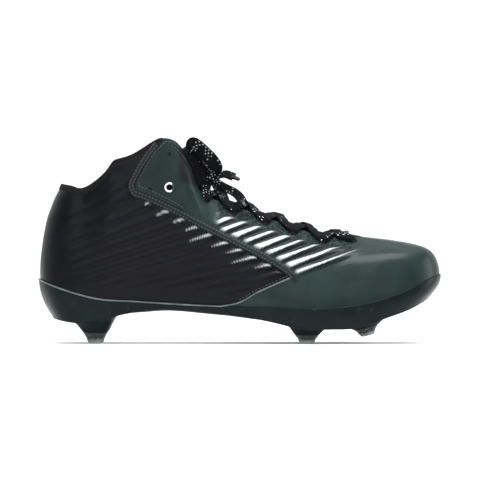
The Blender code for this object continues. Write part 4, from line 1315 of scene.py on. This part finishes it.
class CLEAT_OT_plate(Operator):
    """Build the sole plate with its flared stud seats and the pale line along it"""

    bl_idname = "cleat.plate"
    bl_label = "Sole plate"

    def execute(self, context):
        u = even_rows(PLATE_POINTS, 0.05)
        lip = np.maximum(rise_to(u, rim_line), RIM_LEAST)
        steps = np.linspace(0, 1, 22)
        shares = np.linspace(0.02, 0.97, 26)
        feather = shell(u, 0.0, GAP)
        feather[:, 2] = floor_height(feather[:, 0])
        edge = shell(u, 0.0, 0.0)
        edge[:, 2] = underside(edge[:, 0])
        rings = [self.drawn(feather, share, floor_height, 0.0) for share in (0.02, 0.35, 0.72)]
        rings.append(feather)
        rings += [shell(u, step * lip, GAP) for step in steps]
        rings.append(shell(u, lip + 0.004, GAP + RIM_LIP * 0.5))
        for step in steps[::-1]:
            rings.append(shell(u, step * lip, GAP + RIM_FOOT + step * (RIM_LIP - RIM_FOOT)))
        foot = rings[-1]
        corner = np.concatenate([edge[:, :2], foot[:, 2:]], axis=1)
        for turn in np.radians((22.5, 45.0, 67.5)):
            out, down = math.cos(turn), math.sin(turn)
            rings.append(corner + out * (foot - corner) + down * (edge - corner))
        rings.append(edge)
        rings += [self.drawn(edge, share, underside, 1.0) for share in shares[::-1]]
        count = len(rings)
        faces = grid_faces(count, len(u), loop_columns=True)
        faces += bridge_faces(0, len(u)) + bridge_faces(count - 1, len(u))
        points = [np.concatenate(rings)]
        start = count * len(u)
        for seat in self.seats():
            faces += tube_faces(*seat.shape[:2], start)
            points.append(seat.reshape(-1, 3))
            start += seat.shape[0] * seat.shape[1]
        plate = add_piece("plate_shell", np.concatenate(points), faces, ("plate",), 60.0)
        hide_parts("sole_plate")
        self.add_line()
        return {"FINISHED"}

    def drawn(self, ring, share, height, moulded):
        """A ring drawn in towards the middle of the sole, with the moulded rails under the arch."""
        x, y, middle = drawn_in(ring, share)
        from_rail = np.abs(np.abs(y - middle) - RAIL_ASIDE) / RAIL_WIDTH
        rail = np.exp(-(from_rail**4)) * smooth((x - 0.062) / 0.02) * smooth((0.180 - x) / 0.03)
        well = np.exp(-((((x - 0.215) / 0.030) ** 2 + ((y - middle) / 0.016) ** 2) ** 2))
        return np.stack([x, y, height(x) - moulded * (0.0011 * rail - 0.0008 * well)], axis=1)

    def seats(self):
        """Concave flares that carry the studs, cut short where the plate ends."""
        turn = np.linspace(0, 2 * math.pi, STUD_SIDES, endpoint=False)
        inner = STUD_RADIUS + SEAT_STEP
        for name, middle, length, lean in stud_places():
            axis = np.array([-math.sin(lean), 0.0, math.cos(lean)])
            foot = np.array(middle) + (length + 0.0001) * axis
            outer = HEEL_SEAT_RADIUS if name.startswith("heel") else SEAT_RADIUS
            share = np.concatenate([[0.0], np.linspace(0, 1, 18)])[:, None]
            radius = inner + (outer - inner) * share + 0 * turn
            x, y = foot[0] + radius * np.cos(turn), foot[1] + radius * np.sin(turn)
            low = foot[2] + inner * np.cos(turn) * math.sin(lean)
            rise = 1 - (1 - share) ** 1.6
            z = low * (1 - rise) + (underside(x) + 0.0006) * rise
            flare = np.stack([x, y, z], axis=-1)
            flare[0, :, :2] = foot[:2] + 0.6 * (flare[0, :, :2] - foot[:2])
            yield flare

    def add_line(self):
        """The pale line on the rim, from one seam's lower end round the heel to the other's."""
        u = np.linspace(-LINE_ENDS, LINE_ENDS, 240)
        rise = rise_to(u, rim_line)
        back = surface(u, rise)[:, 0] < QUARTER_HEM[0][0] * LENGTH
        raised = GAP + RIM_LIP + 0.0001
        route = [shell(u[back], rise[back], raised)]
        facing = [normals(u[back], rise[back])]
        hem = np.array([(x * LENGTH, z) for x, z in QUARTER_HEM])
        seen_x = np.linspace(hem[0, 0] + 0.001, hem[-1, 0], 40)
        row, height = place(seen_x, along_rows(hem, seen_x))
        lift = raised - (RIM_LIP + 0.0002) * smooth((seen_x - hem[0, 0]) / 0.02)
        for side in SIDES:
            rows = on_side(row, side)
            part, out = shell(rows, height, lift), normals(rows, height)
            if side == "outer":
                route, facing = route + [part], facing + [out]
            else:
                route, facing = [part[::-1]] + route, [out[::-1]] + facing
        route, facing = np.concatenate(route), np.concatenate(facing)
        outline = flat_outline(LINE_WIDTH, LINE_THICKNESS, 10)
        body = sweep(route, facing, np.broadcast_to(outline, (len(route),) + outline.shape))
        points, faces, _ = swept_body([(body, outline)])
        obj = add_piece("pale_line", points, faces, ("line",), 70.0)


def stud_places():
    """Each stud's name, the middle of its tip, its length and its lean."""
    for name, along, aside, length, rise, lean in STUDS:
        middle = float(along_rows(SOLE_MIDDLE, along))
        for side, turn in (("outer", -1), ("inner", 1)):
            tip = (along * LENGTH, middle + turn * aside * BALL_WIDTH, rise)
            yield f"{name}_{side}", tip, length, math.radians(lean)


class CLEAT_OT_studs(Operator):
    """Build the six screw-on studs"""

    bl_idname = "cleat.studs"
    bl_label = "Studs"

    def execute(self, context):
        taper = STUD_RADIUS - STUD_TIP_RADIUS
        rounding = [
            (STUD_TIP_RADIUS - STUD_ROUNDING * (1 - math.sin(t)), STUD_ROUNDING * (1 - math.cos(t)))
            for t in np.radians(np.linspace(0, 90, 10))
        ]
        for name, tip, length, lean in stud_places():
            reach = length - STUD_ROUNDING - 0.0004
            side = [
                (STUD_TIP_RADIUS + taper * s**1.25, STUD_ROUNDING + reach * s)
                for s in np.linspace(0.08, 1, 12)
            ]
            head = [(STUD_RADIUS - 0.0003, length), (0.0008, length)]
            profile = [(0.0008, 0.0), *rounding, *side, *head]
            points = lathe(profile, STUD_SIDES, tip, lean)
            faces = tube_faces(len(profile), STUD_SIDES)
            stud = add_piece(f"stud_{name}_tip", points, faces, ("stud",), 40.0)
            give(stud, "rise", np.repeat([height / length for _, height in profile], STUD_SIDES))
            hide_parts(f"stud_{name}")
        return {"FINISHED"}


class CLEAT_OT_inside(Operator):
    """Build the insole and the padded tongue"""

    bl_idname = "cleat.inside"
    bl_label = "Insole and tongue"

    def execute(self, context):
        self.add_insole()
        self.add_tongue()
        return {"FINISHED"}

    def add_insole(self):
        u = even_rows(INSOLE_POINTS, 0.05)
        ring = shell(u, 0.0, -(UPPER_WALL + INSOLE_GAP))
        edges = [0.25 + 0.5 * (1 - math.cos(turn)) for turn in np.radians((20.0, 50.0, 80.0))]
        rings = [self.drawn(ring, share, 0.0) for share in (0.02, 0.5, 1.0)]
        rings += [self.drawn(ring, 1.0, rise) for rise in edges]
        rings += [self.drawn(ring, share, 1.0) for share in np.linspace(0.99, 0.02, 24)]
        faces = grid_faces(len(rings), INSOLE_POINTS, loop_columns=True)
        for end in (0, len(rings) - 1):
            faces += bridge_faces(end, INSOLE_POINTS)
        insole = add_piece("footbed", np.concatenate(rings), faces, ("insole",), 60.0)
        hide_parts("insole")

    def drawn(self, ring, share, rise):
        """A ring of the footbed drawn in, at a share of its thickness, cupped under the heel."""
        x, y, _ = drawn_in(ring, share)
        cup = 0.0009 * smooth(share) * smooth((0.09 - x) / 0.05)
        z = floor_height(x) + INSOLE_GAP + rise * (INSOLE_THICKNESS - 0.0009 + cup)
        return np.stack([x, y, z], axis=1)

    def add_tongue(self):
        rows, columns = 96, 56
        last = TONGUE_FRONT_ROW + 1.5
        u = np.linspace(TONGUE_TOP_ROW, last, rows)[:, None]
        q = np.linspace(-2.0, 2.0, columns)[None, :]
        below, aside = u - TONGUE_TOP_ROW, np.abs(q)
        full = smooth(below / 0.35) * smooth((last - u) / 0.5) * smooth((2.0 - aside) / 0.30)
        head = smooth(below / 0.5) * smooth((11.4 - u) / 1.3) * smooth((1.10 - aside) / 0.6)
        bound = np.exp(-(((below - 0.45) / 0.05) ** 2))
        channel = np.exp(-((aside - 0.75) / 0.07) ** 2) * smooth((below - 0.4) / 0.3)
        face = -(UPPER_WALL + TONGUE_GAP)
        worn = TONGUE_THICKNESS * (0.32 * (1 - full) + 0.10 * bound + 0.12 * channel)
        raised = TONGUE_HEAD_LIFT * head + TONGUE_MIDDLE_LIFT * smooth((1.0 - aside) / 0.5)
        outer = throat(u, q, face - worn + raised)
        inner = throat(u, q, face - TONGUE_THICKNESS * (0.68 + 0.32 * full))
        points = np.concatenate([outer.reshape(-1, 3), inner.reshape(-1, 3)])
        tongue = add_piece("tongue_pad", points, slab_faces(rows, columns), ("tongue",), 70.0)
        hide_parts("tongue")


class CLEAT_OT_panels(Operator):
    """Build the raised seams, the ankle panels, their rings and the punched holes"""

    bl_idname = "cleat.panels"
    bl_label = "Seams and ankle panels"

    def execute(self, context):
        for side in SIDES:
            self.add_seam(side)
            self.add_panel(side)
            self.add_ring(side)
        self.add_holes()
        return {"FINISHED"}

    def add_seam(self, side):
        share = np.linspace(0, 1, 170)
        across = np.linspace(-0.5, 0.5, 13)
        point, aside = seam_line(share)
        seen = point[:, None] + across[None, :, None] * SEAM_WIDTH * aside[:, None]
        u, v = laid_on(seen, side)
        edge = 1 - np.abs(2 * across) ** 5
        groove = np.exp(-((np.abs(across) - 0.27) / 0.07) ** 2)
        crown = OVERLAY_HEIGHT * (0.25 + 0.75 * edge) - 0.00028 * groove
        fade = smooth((1 - share) / 0.04)
        high = (OVERLAY_ROOT + (crown[None, :] - OVERLAY_ROOT) * fade[:, None]).ravel()
        points = np.concatenate([shell(u, v, high), shell(u, v, 0 * high - OVERLAY_ROOT)])
        faces = slab_faces(len(share), len(across))
        obj = add_piece(f"seam_band_{side}", points, faces, ("seam",), 70.0)
        give(obj, "run", np.tile(np.repeat(share, len(across)), 2))
        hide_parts(f"seam_{side}")

    def add_panel(self, side):
        rows, columns = PANEL_POINTS
        seen = panel_grid(rows, columns)
        u, v = laid_on(seen, side)
        x, z = seen[..., 0], seen[..., 1]
        along = np.linspace(0, 1, rows)[:, None]
        up = np.linspace(0, 1, columns)[None, :]
        rounding = smooth(up / 0.05) * smooth((1 - up) / 0.05) * smooth(along / 0.05)
        front = smooth((1 - along) / 0.16)
        hem = np.exp(-(((up - 0.90) / 0.025) ** 2)) * smooth((1 - along) / 0.2)
        fold = np.exp(-(((x - 0.1055) / 0.0022) ** 2))
        fold = fold * smooth((0.112 - z) / 0.010) * smooth((z - 0.088) / 0.006)
        soft = np.exp(-(((x - 0.1175) / 0.0050) ** 2)) * smooth((0.140 - z) / 0.02)
        height = (OVERLAY_HEIGHT - OVERLAY_ROOT) * (0.35 + 0.65 * rounding) * front
        height = OVERLAY_ROOT + height - 0.00030 * hem - 0.00045 * fold - 0.00025 * soft * front
        hole_x, hole_z = RING_PLACE[0] * LENGTH, RING_PLACE[1] * COLLAR_HEIGHT
        from_ring = np.hypot(x - hole_x, z - hole_z)
        height = height - 0.0005 * smooth((0.0024 - from_ring) / 0.0008)
        high = height.ravel()
        points = np.concatenate([shell(u, v, high), shell(u, v, 0 * high - OVERLAY_ROOT)])
        faces = slab_faces(rows, columns)
        obj = add_piece(f"ankle_panel_{side}", points, faces, ("panel",), 70.0)
        # The hem groove and the fold crease, handed to the finish to be darkened as painted shade
        give(obj, "hem", np.tile((hem + 0.8 * fold).ravel(), 2))
        # Painted shade: the panel's front beyond the fold, by the laces, painted near-black
        front_edge = smooth((x - 0.1040) / 0.0014)
        front_edge = front_edge * smooth((z - 0.1205 + 0.45 * (x - 0.1035)) / 0.0018)
        give(obj, "front_edge", np.tile(front_edge.ravel(), 2))
        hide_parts(f"eyestay_{side}")

    def add_ring(self, side):
        middle, facing = seat_at(RING_PLACE[0] * LENGTH, RING_PLACE[1] * COLLAR_HEIGHT, side)
        lift = OVERLAY_HEIGHT + GAP + RING_WIRE
        points, faces = torus(middle + lift * facing, facing, RING_RADIUS, RING_WIRE)
        obj = add_piece(f"ring_wire_{side}", points, faces, ("ring",), 180.0)
        # Painted shade: the ring's side towards the toe is marked to be painted dark
        towards_toe = (points[:, 0] - middle[0]) / (RING_RADIUS + RING_WIRE)
        give(obj, "rubbed", smooth((towards_toe - 0.25) / 0.3))
        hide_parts(f"eyelet_ring_{side}")

    def add_holes(self):
        """Dark punched holes: the lace eyelets, the ring's hole and two small vents a side."""
        points, faces, seats = [], [], []
        for row in eyelet_rows():
            for q in (-LACE_REACH, LACE_REACH):
                middle = throat(row, q, 0.0)
                facing = unit(throat(row, q, 0.01) - middle)
                seats.append((middle, facing, 1.25 * EYELET_RADIUS, 0.0004))
        for side in SIDES:
            for x, z, radius in OUTER_HOLES:
                seats.append((*seat_at(x, z, side), radius, OVERLAY_HEIGHT))
        turn = np.linspace(0, 2 * math.pi, HOLE_SIDES, endpoint=False)
        for middle, facing, radius, lift in seats:
            aside = unit(np.cross(facing, (0.0, 0.0, 1.0)))
            above = np.cross(aside, facing)
            spoke = np.cos(turn)[:, None] * aside + np.sin(turn)[:, None] * above
            faces += tube_faces(len(HOLE_PROFILE), HOLE_SIDES, len(points) * HOLE_SIDES)
            for share, height in HOLE_PROFILE:
                points.append(middle + share * radius * spoke + (lift + height) * facing)
        # The holes are not cut: dark discs on the surface stand in for them, with painted shade for
        # their depth
        obj = add_piece("punched_holes", np.concatenate(points), faces, ("hole",), 60.0)


def seat_at(x, z, side):
    """Place on the upper's outside, and its facing, where it is seen at x, z."""
    u, v = laid_on(np.array([[x, z]]), side)
    return surface(u, v)[0], normals(u, v)[0]


def torus(middle, facing, radius, wire, steps=56, sides=14):
    """Points and faces of a ring of wire."""
    facing = unit(np.asarray(facing))
    aside = unit(np.cross(facing, (0.0, 0.0, 1.0)))
    above = np.cross(aside, facing)
    turn = np.linspace(0, 2 * math.pi, steps, endpoint=False)[:, None, None]
    around = np.linspace(0, 2 * math.pi, sides, endpoint=False)[None, :, None]
    spoke = np.cos(turn) * aside + np.sin(turn) * above
    points = middle + (radius + wire * np.cos(around)) * spoke + wire * np.sin(around) * facing
    return points.reshape(-1, 3), grid_faces(steps, sides, loop_rows=True, loop_columns=True)


class CLEAT_OT_lace(Operator):
    """Lace the shoe up and tie its bow"""

    bl_idname = "cleat.lace"
    bl_label = "Lace"

    def execute(self, context):
        self.add_runs()
        self.add_bow()
        self.add_knot()
        return {"FINISHED"}

    def run_body(self, start, end, over):
        """One flat length between two eyelets (row, q), dipping into them at its ends."""
        share = np.linspace(0, 1, 64)
        ease = share + 0.03 * np.sin(2 * np.pi * share)
        u = start[0] + (end[0] - start[0]) * ease
        q = start[1] + (end[1] - start[1]) * ease
        sink = (UPPER_WALL + TONGUE_GAP - GAP) * (1 - np.clip(np.abs(q), 0, 1) ** 2)
        dip = 1 - smooth(np.minimum(share, 1 - share) / 0.045)
        hump = over * np.exp(-((q / 0.40) ** 2))
        lift = LACE_LIFT + LACE_THICKNESS / 2 - sink + hump - 0.0026 * dip
        path = throat(u, q, lift)
        facing = unit(throat(u, q, lift + 0.01) - path)
        run = unit(np.gradient(path, axis=0))
        twist = 0.12 * np.sin(2 * np.pi * share + 3.0 * start[0])[:, None]
        facing = unit(facing + twist * np.cross(facing, run))
        width = LACE_WIDTH * (1 - 0.42 * dip) * (1 - 0.05 * np.sin(7 * np.pi * share))
        outline = flat_outline(width, LACE_THICKNESS * (1 + 0.5 * dip))
        return sweep(path, facing, outline), outline

    def add_runs(self):
        """The crossings over the tongue, and the lengths from the top eyelets to the knot."""
        rows, out = eyelet_rows(), LACE_REACH
        bodies = [self.run_body((rows[-1], -out), (rows[-1], out), 0.0)]
        for here, after in zip(rows[:-1], rows[1:]):
            bodies.append(self.run_body((here, -out), (after, out), 0.0))
            bodies.append(self.run_body((here, out), (after, -out), LACE_OVERPASS))
        knot = np.array(KNOT)
        for turn in (-1, 1):
            start = throat(rows[0], turn * out, LACE_LIFT)
            lead = throat(rows[0] - 0.12, turn * 0.55, LACE_LIFT + 0.0006)
            goal = knot + np.array([0.0, 0.4 * turn * KNOT_SIZE[1], -0.3 * KNOT_SIZE[2]])
            foot = start - 0.0012 * np.array([0, 0, 1.0])
            above = start * 0.7 + lead * 0.3 + (0, 0, 0.0009)
            path = smooth_route([foot, above, lead, goal], LEAD_STEP)
            facing = np.broadcast_to(np.array([0.25, 0.25 * turn, 1.0]), path.shape)
            share = np.linspace(0, 1, len(path))
            width = LACE_WIDTH * (1 - 0.4 * smooth(1 - share / 0.1))
            width = width * (1 - 0.35 * smooth((share - 0.7) / 0.3))
            outline = flat_outline(width, LACE_THICKNESS + 0 * width)
            bodies.append((sweep(path, facing, outline), outline))
        points, faces, coords = swept_body(bodies)
        obj = add_piece("lace_runs", points, faces, ("lace",), 60.0)
        unwrap(obj, coords)
        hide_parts("lace_crossings")

    def add_bow(self):
        """The two loose lengths from the knot, each with its loop, its end and its tip."""
        knot = np.array(KNOT)
        for name, loop, end, hidden in (
            ("lace_bow_outer", LOOP_OUTER, END_OUTER, ("lace_loop_outer", "lace_end_outer")),
            ("lace_bow_inner", LOOP_INNER, END_FRONT, ("lace_loop_inner", "lace_end_front")),
        ):
            stops = [knot_seat(loop[0]), *loop, knot_seat(loop[-1]), KNOT, knot_seat(end[0]), *end]
            path = smooth_route(stops, LACE_STEP)
            run = unit(np.gradient(path, axis=0))
            middle = np.mean(loop, axis=0)
            flat = np.linalg.svd(np.array(loop) - middle)[2][2]
            flat *= -np.sign(flat[1]) if name.endswith("outer") else np.sign(flat[2])
            outward = unit(unit(path - middle + np.array([0.0, 0.0, 0.004])) * 0.40 + flat)
            share = np.linspace(0, 1, len(path))
            ending = smooth((share - len(loop) / (len(stops) - 1)) / 0.15)[:, None]
            facing = outward * (1 - ending) + np.array(END_FACING) * ending
            facing = unit(facing - (facing * run).sum(axis=1, keepdims=True) * run)
            near_knot = np.exp(-((np.linalg.norm(path - knot, axis=1) / 0.0065) ** 2))
            in_loop = smooth(share / 0.10) * (1 - ending[:, 0])
            width = LACE_WIDTH * (1 - 0.30 * near_knot) * (1 + LOOP_WIDENING * in_loop)
            outline = flat_outline(width, LACE_THICKNESS * (1 + 0.5 * near_knot))
            body = sweep(path, facing, outline)
            points, faces, coords = swept_body([(body, outline)])
            obj = add_piece(name, points, faces, ("lace",), 60.0)
            unwrap(obj, coords)
            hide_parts(*hidden)
            tip = self.add_tip(name.replace("bow", "aglet"), path, hidden[1].replace("end", "tip"))

    def add_tip(self, name, path, hidden):
        """The crimped tip at the end of a lace."""
        ahead = unit(path[-1] - path[-4])
        steps = np.linspace(-TIP_OVERLAP, TIP_LENGTH + GAP, 16)
        line = path[-1] + steps[:, None] * ahead
        squeeze = smooth((steps + TIP_OVERLAP) / 0.0030)
        end = 1 - 0.25 * smooth((steps - TIP_LENGTH + 0.001) / 0.001)
        width = (LACE_CORD * 1.25 - LACE_CORD * 0.45 * squeeze) * end
        thick = (LACE_THICKNESS * 1.2 + 0.0010 * squeeze) * end
        outline = flat_outline(width, thick)
        body = sweep(line, np.broadcast_to(END_FACING, line.shape), outline)
        points, faces, _ = swept_body([(body, outline)])
        obj = add_piece(name, points, faces, ("tip",), 50.0)
        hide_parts(hidden)
        return obj

    def add_knot(self):
        """Wraps of lace drawn tight round each other."""
        bodies = []
        knot, half = np.array(KNOT), np.array(KNOT_SIZE)
        turn = np.linspace(0, 2 * math.pi, 60)[:, None]
        for axis, share in KNOT_WRAPS:
            axis = unit(np.array(axis))
            one = unit(np.cross(axis, (0.3, 0.2, 0.9)))
            two = np.cross(axis, one)
            spoke = np.cos(turn) * one + np.sin(turn) * two
            path = knot + share * half * spoke
            outline = flat_outline(*(np.full(len(turn), one) for one in KNOT_LACE))
            bodies.append((sweep(path, spoke, outline), outline))
        points, faces, coords = swept_body(bodies)
        obj = add_piece("lace_knot_wraps", points, faces, ("lace",), 60.0)
        unwrap(obj, coords)
        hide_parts("lace_knot")


class CLEAT_OT_stitches(Operator):
    """Sew the rows of stitches along the seams, the ankle panels, the quarter's lower edge and the
    collar
    """

    bl_idname = "cleat.stitches"
    bl_label = "Stitches"

    def execute(self, context):
        looks = context.scene.cleat
        rows = []
        lift = OVERLAY_HEIGHT + 0.00002
        panel = panel_grid(*PANEL_POINTS)
        for side in SIDES:
            for across in (-0.27, 0.27):
                point, aside = seam_line(np.linspace(0.01, 0.97, 150))
                rows.append(self.seen(point + across * SEAM_WIDTH * aside, side, lift - 0.00025))
            rows.append(self.seen(panel[4:96, 5], side, lift))
            rows.append(self.seen(panel[4:80, 58], side, lift - 0.0002))
            rows.append(self.seen(panel[4, 5:58], side, lift))
            hem = np.array([(x * LENGTH, z + 0.0022) for x, z in QUARTER_HEM])
            at = np.linspace(hem[1, 0], hem[-1, 0], 40)
            rows.append(self.seen(np.stack([at, along_rows(hem, at)], axis=1), side, 0.0002))
        u = np.linspace(-7.4, 7.4, 200)
        rows.append(shell(u, 0.945, 0.0001 + 0 * u))
        points = np.concatenate(rows)
        edges, start = [], 0
        for row in rows:
            edges += [(start + i, start + i + 1) for i in range(len(row) - 1)]
            start += len(row)
        mesh = bpy.data.meshes.new("stitch_rows")
        mesh.from_pydata((points + ORIGIN).tolist(), edges, [])
        obj = bpy.data.objects.new("stitches", mesh)
        context.scene.collection.objects.link(obj)
        made = obj.modifiers.new("Stitches", "NODES")
        made.node_group, sockets = stitch_tree()
        made[sockets["Spacing"]] = looks.stitch_spacing
        made[sockets["Length"]] = looks.stitch_length
        made[sockets["Thread radius"]] = looks.thread_radius
        made[sockets["Thread"]] = finish_of("thread")
        graph = context.evaluated_depsgraph_get()
        sewn = bpy.data.meshes.new_from_object(obj.evaluated_get(graph), depsgraph=graph)
        obj.modifiers.clear()
        obj.data = sewn
        if not len(sewn.polygons):
            raise RuntimeError("no stitches were made")
        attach(obj, "root")
        return {"FINISHED"}

    def seen(self, line, side, lift):
        """A line in side view, laid on the upper at a lift."""
        u, v = laid_on(line, side)
        return shell(u, v, lift + 0 * v)


def stitch_tree():
    """Geometry Nodes: stitches laid one after another along the edges of a mesh."""
    tree = bpy.data.node_groups.new("Stitch rows", "GeometryNodeTree")
    sockets = {}
    tree.interface.new_socket("Rows", in_out="INPUT", socket_type="NodeSocketGeometry")
    for name in ("Spacing", "Length", "Thread radius", "Thread"):
        kind = "NodeSocketMaterial" if name == "Thread" else "NodeSocketFloat"
        socket = tree.interface.new_socket(name, in_out="INPUT", socket_type=kind)
        sockets[name] = socket.identifier
    tree.interface.new_socket("Stitches", in_out="OUTPUT", socket_type="NodeSocketGeometry")
    add, link = tree.nodes.new, tree.links.new
    start, end = add("NodeGroupInput"), add("NodeGroupOutput")
    line = add("GeometryNodeMeshToCurve")
    link(start.outputs["Rows"], line.inputs[0])
    places = add("GeometryNodeCurveToPoints")
    places.mode = "LENGTH"
    link(line.outputs[0], places.inputs[0])
    link(start.outputs["Spacing"], places.inputs["Length"])
    ball = add("GeometryNodeMeshUVSphere")
    ball.inputs["Segments"].default_value = 6
    ball.inputs["Rings"].default_value = 5
    ball.inputs["Radius"].default_value = 1.0
    half = add("ShaderNodeMath")
    half.operation = "MULTIPLY"
    half.inputs[1].default_value = 0.5
    link(start.outputs["Length"], half.inputs[0])
    scale = add("ShaderNodeCombineXYZ")
    link(start.outputs["Thread radius"], scale.inputs[0])
    link(start.outputs["Thread radius"], scale.inputs[1])
    link(half.outputs[0], scale.inputs[2])
    thread = add("GeometryNodeTransform")
    link(ball.outputs["Mesh"], thread.inputs["Geometry"])
    link(scale.outputs[0], thread.inputs["Scale"])
    vary = add("FunctionNodeRandomValue")
    vary.data_type = "FLOAT"
    vary.inputs["Min"].default_value = 0.90
    vary.inputs["Max"].default_value = 1.08
    vary.inputs["Seed"].default_value = 7
    sew = add("GeometryNodeInstanceOnPoints")
    link(places.outputs["Points"], sew.inputs["Points"])
    link(thread.outputs[0], sew.inputs["Instance"])
    link(places.outputs["Rotation"], sew.inputs["Rotation"])
    link(next(out for out in vary.outputs if out.enabled), sew.inputs["Scale"])
    real = add("GeometryNodeRealizeInstances")
    link(sew.outputs[0], real.inputs[0])
    shade_node = add("GeometryNodeSetShadeSmooth")
    link(real.outputs[0], shade_node.inputs[0])
    finish = add("GeometryNodeSetMaterial")
    link(shade_node.outputs[0], finish.inputs["Geometry"])
    link(start.outputs["Thread"], finish.inputs["Material"])
    link(finish.outputs[0], end.inputs[0])
    return tree, sockets


# The studio: soft lights with their settings' names, places, sizes and aims, the glow that
# keeps the floor pale, and the round floor with the foot, bend and height of its wall
LIGHTS = (
    ("Top light", "key", (0.02, -0.05, 0.95), (1.0, 0.30), (0.0, 0.0, 0.05)),
    ("Front light", "fill", (-0.35, -1.5, 0.75), (1.2, 0.6), (0.0, 0.0, 0.06)),
    ("Toe light", "rim", (1.2, 0.3, 0.45), (0.5, 0.8), (0.10, 0.0, 0.05)),
    ("Floor light", "floor", (0.0, -2.2, 2.4), (3.0, 2.4), (0.0, -2.0, 0.0)),
    ("Backdrop light", "backdrop", (0.0, 1.9, 2.4), (3.0, 2.4), (0.0, 3.2, 0.2)),
)
SURROUNDINGS = (0.95, 0.97, 1.0, 1.0)
FLOOR_GLOW = 0.2
FLOOR_RADIUS = 4.0
WALL_BEND = 0.6
WALL_HEIGHT = 4.0


class CLEAT_OT_stage(Operator):
    """Set the pale floor, the soft lights and the camera"""

    bl_idname = "cleat.stage"
    bl_label = "Stage"

    def execute(self, context):
        studio = context.scene.cleat_studio
        self.add_floor()
        for name, setting, at, span, aim in LIGHTS:
            self.add_light(name, at, span, getattr(studio, setting), aim)
        context.scene.view_settings.view_transform = "Standard"
        world = bpy.data.worlds.new("Studio")
        world.use_nodes = True
        background = world.node_tree.nodes["Background"].inputs
        background["Color"].default_value = SURROUNDINGS
        background["Strength"].default_value = studio.ambient
        context.scene.world = world
        camera = bpy.data.objects.new("Camera", bpy.data.cameras.new("Camera"))
        context.scene.collection.objects.link(camera)
        camera.location = (0.0, -studio.distance, studio.aim)
        camera.rotation_euler = (math.radians(90), 0.0, 0.0)
        camera.data.lens = camera.data.sensor_width * studio.distance / studio.frame_width
        camera.data.clip_end = 50.0
        context.scene.camera = camera
        return {"FINISHED"}

    def add_floor(self):
        """A round floor that curves up into a wall all round, well behind the camera."""
        line = [
            (FLOOR_RADIUS + WALL_BEND * math.sin(t), WALL_BEND - WALL_BEND * math.cos(t))
            for t in np.radians(np.linspace(0, 90, 20))
        ]
        line.append((FLOOR_RADIUS + WALL_BEND, WALL_HEIGHT))
        turns = np.linspace(0, 2 * math.pi, 96, endpoint=False)
        points = [(out * math.sin(t), out * math.cos(t), z) for t in turns for out, z in line]
        faces = grid_faces(len(turns), len(line), loop_rows=True)
        faces.append([k * len(line) for k in range(len(turns))])
        mesh = bpy.data.meshes.new("studio_floor")
        mesh.from_pydata(points, [], faces)
        mesh.shade_smooth()
        mesh.materials.append(FINISHES["floor"]())
        floor = bpy.data.objects.new("studio_floor", mesh)
        bpy.context.scene.collection.objects.link(floor)

    def add_light(self, name, at, span, power, aim):
        data = bpy.data.lights.new(name, "AREA")
        data.shape = "RECTANGLE"
        data.size, data.size_y = span
        data.energy = power
        light = bpy.data.objects.new(name, data)
        light.location = at
        light.rotation_euler = (Vector(aim) - Vector(at)).to_track_quat("-Z", "Y").to_euler()
        bpy.context.scene.collection.objects.link(light)


PIECES = (
    CLEAT_OT_stage,
    CLEAT_OT_upper,
    CLEAT_OT_plate,
    CLEAT_OT_studs,
    CLEAT_OT_inside,
    CLEAT_OT_panels,
    CLEAT_OT_lace,
    CLEAT_OT_stitches,
)


class CLEAT_PT_panel(Panel):
    """Lists the cleat's pieces and settings"""

    bl_idname = "CLEAT_PT_panel"
    bl_label = "Football Cleat"
    bl_space_type = "VIEW_3D"
    bl_region_type = "UI"
    bl_category = "Cleat"

    def draw(self, context):
        column = self.layout.column(align=True)
        for piece in PIECES:
            column.operator(piece.bl_idname, text=piece.bl_label)
        for settings in (context.scene.cleat, context.scene.cleat_studio):
            column = self.layout.column(align=True)
            for name in settings.__annotations__:
                column.prop(settings, name)


CLASSES = (CleatLooks, CleatStudio, *PIECES, CLEAT_PT_panel)


def register():
    for made in CLASSES:
        bpy.utils.register_class(made)
    bpy.types.Scene.cleat = PointerProperty(type=CleatLooks)
    bpy.types.Scene.cleat_studio = PointerProperty(type=CleatStudio)


def unregister():
    del bpy.types.Scene.cleat_studio
    del bpy.types.Scene.cleat
    for made in reversed(CLASSES):
        bpy.utils.unregister_class(made)


def main():
    register()
    for piece in PIECES:
        family, action = piece.bl_idname.split(".")
        getattr(getattr(bpy.ops, family), action)()
    bpy.context.view_layer.update()


if __name__ == "__main__":
    main()
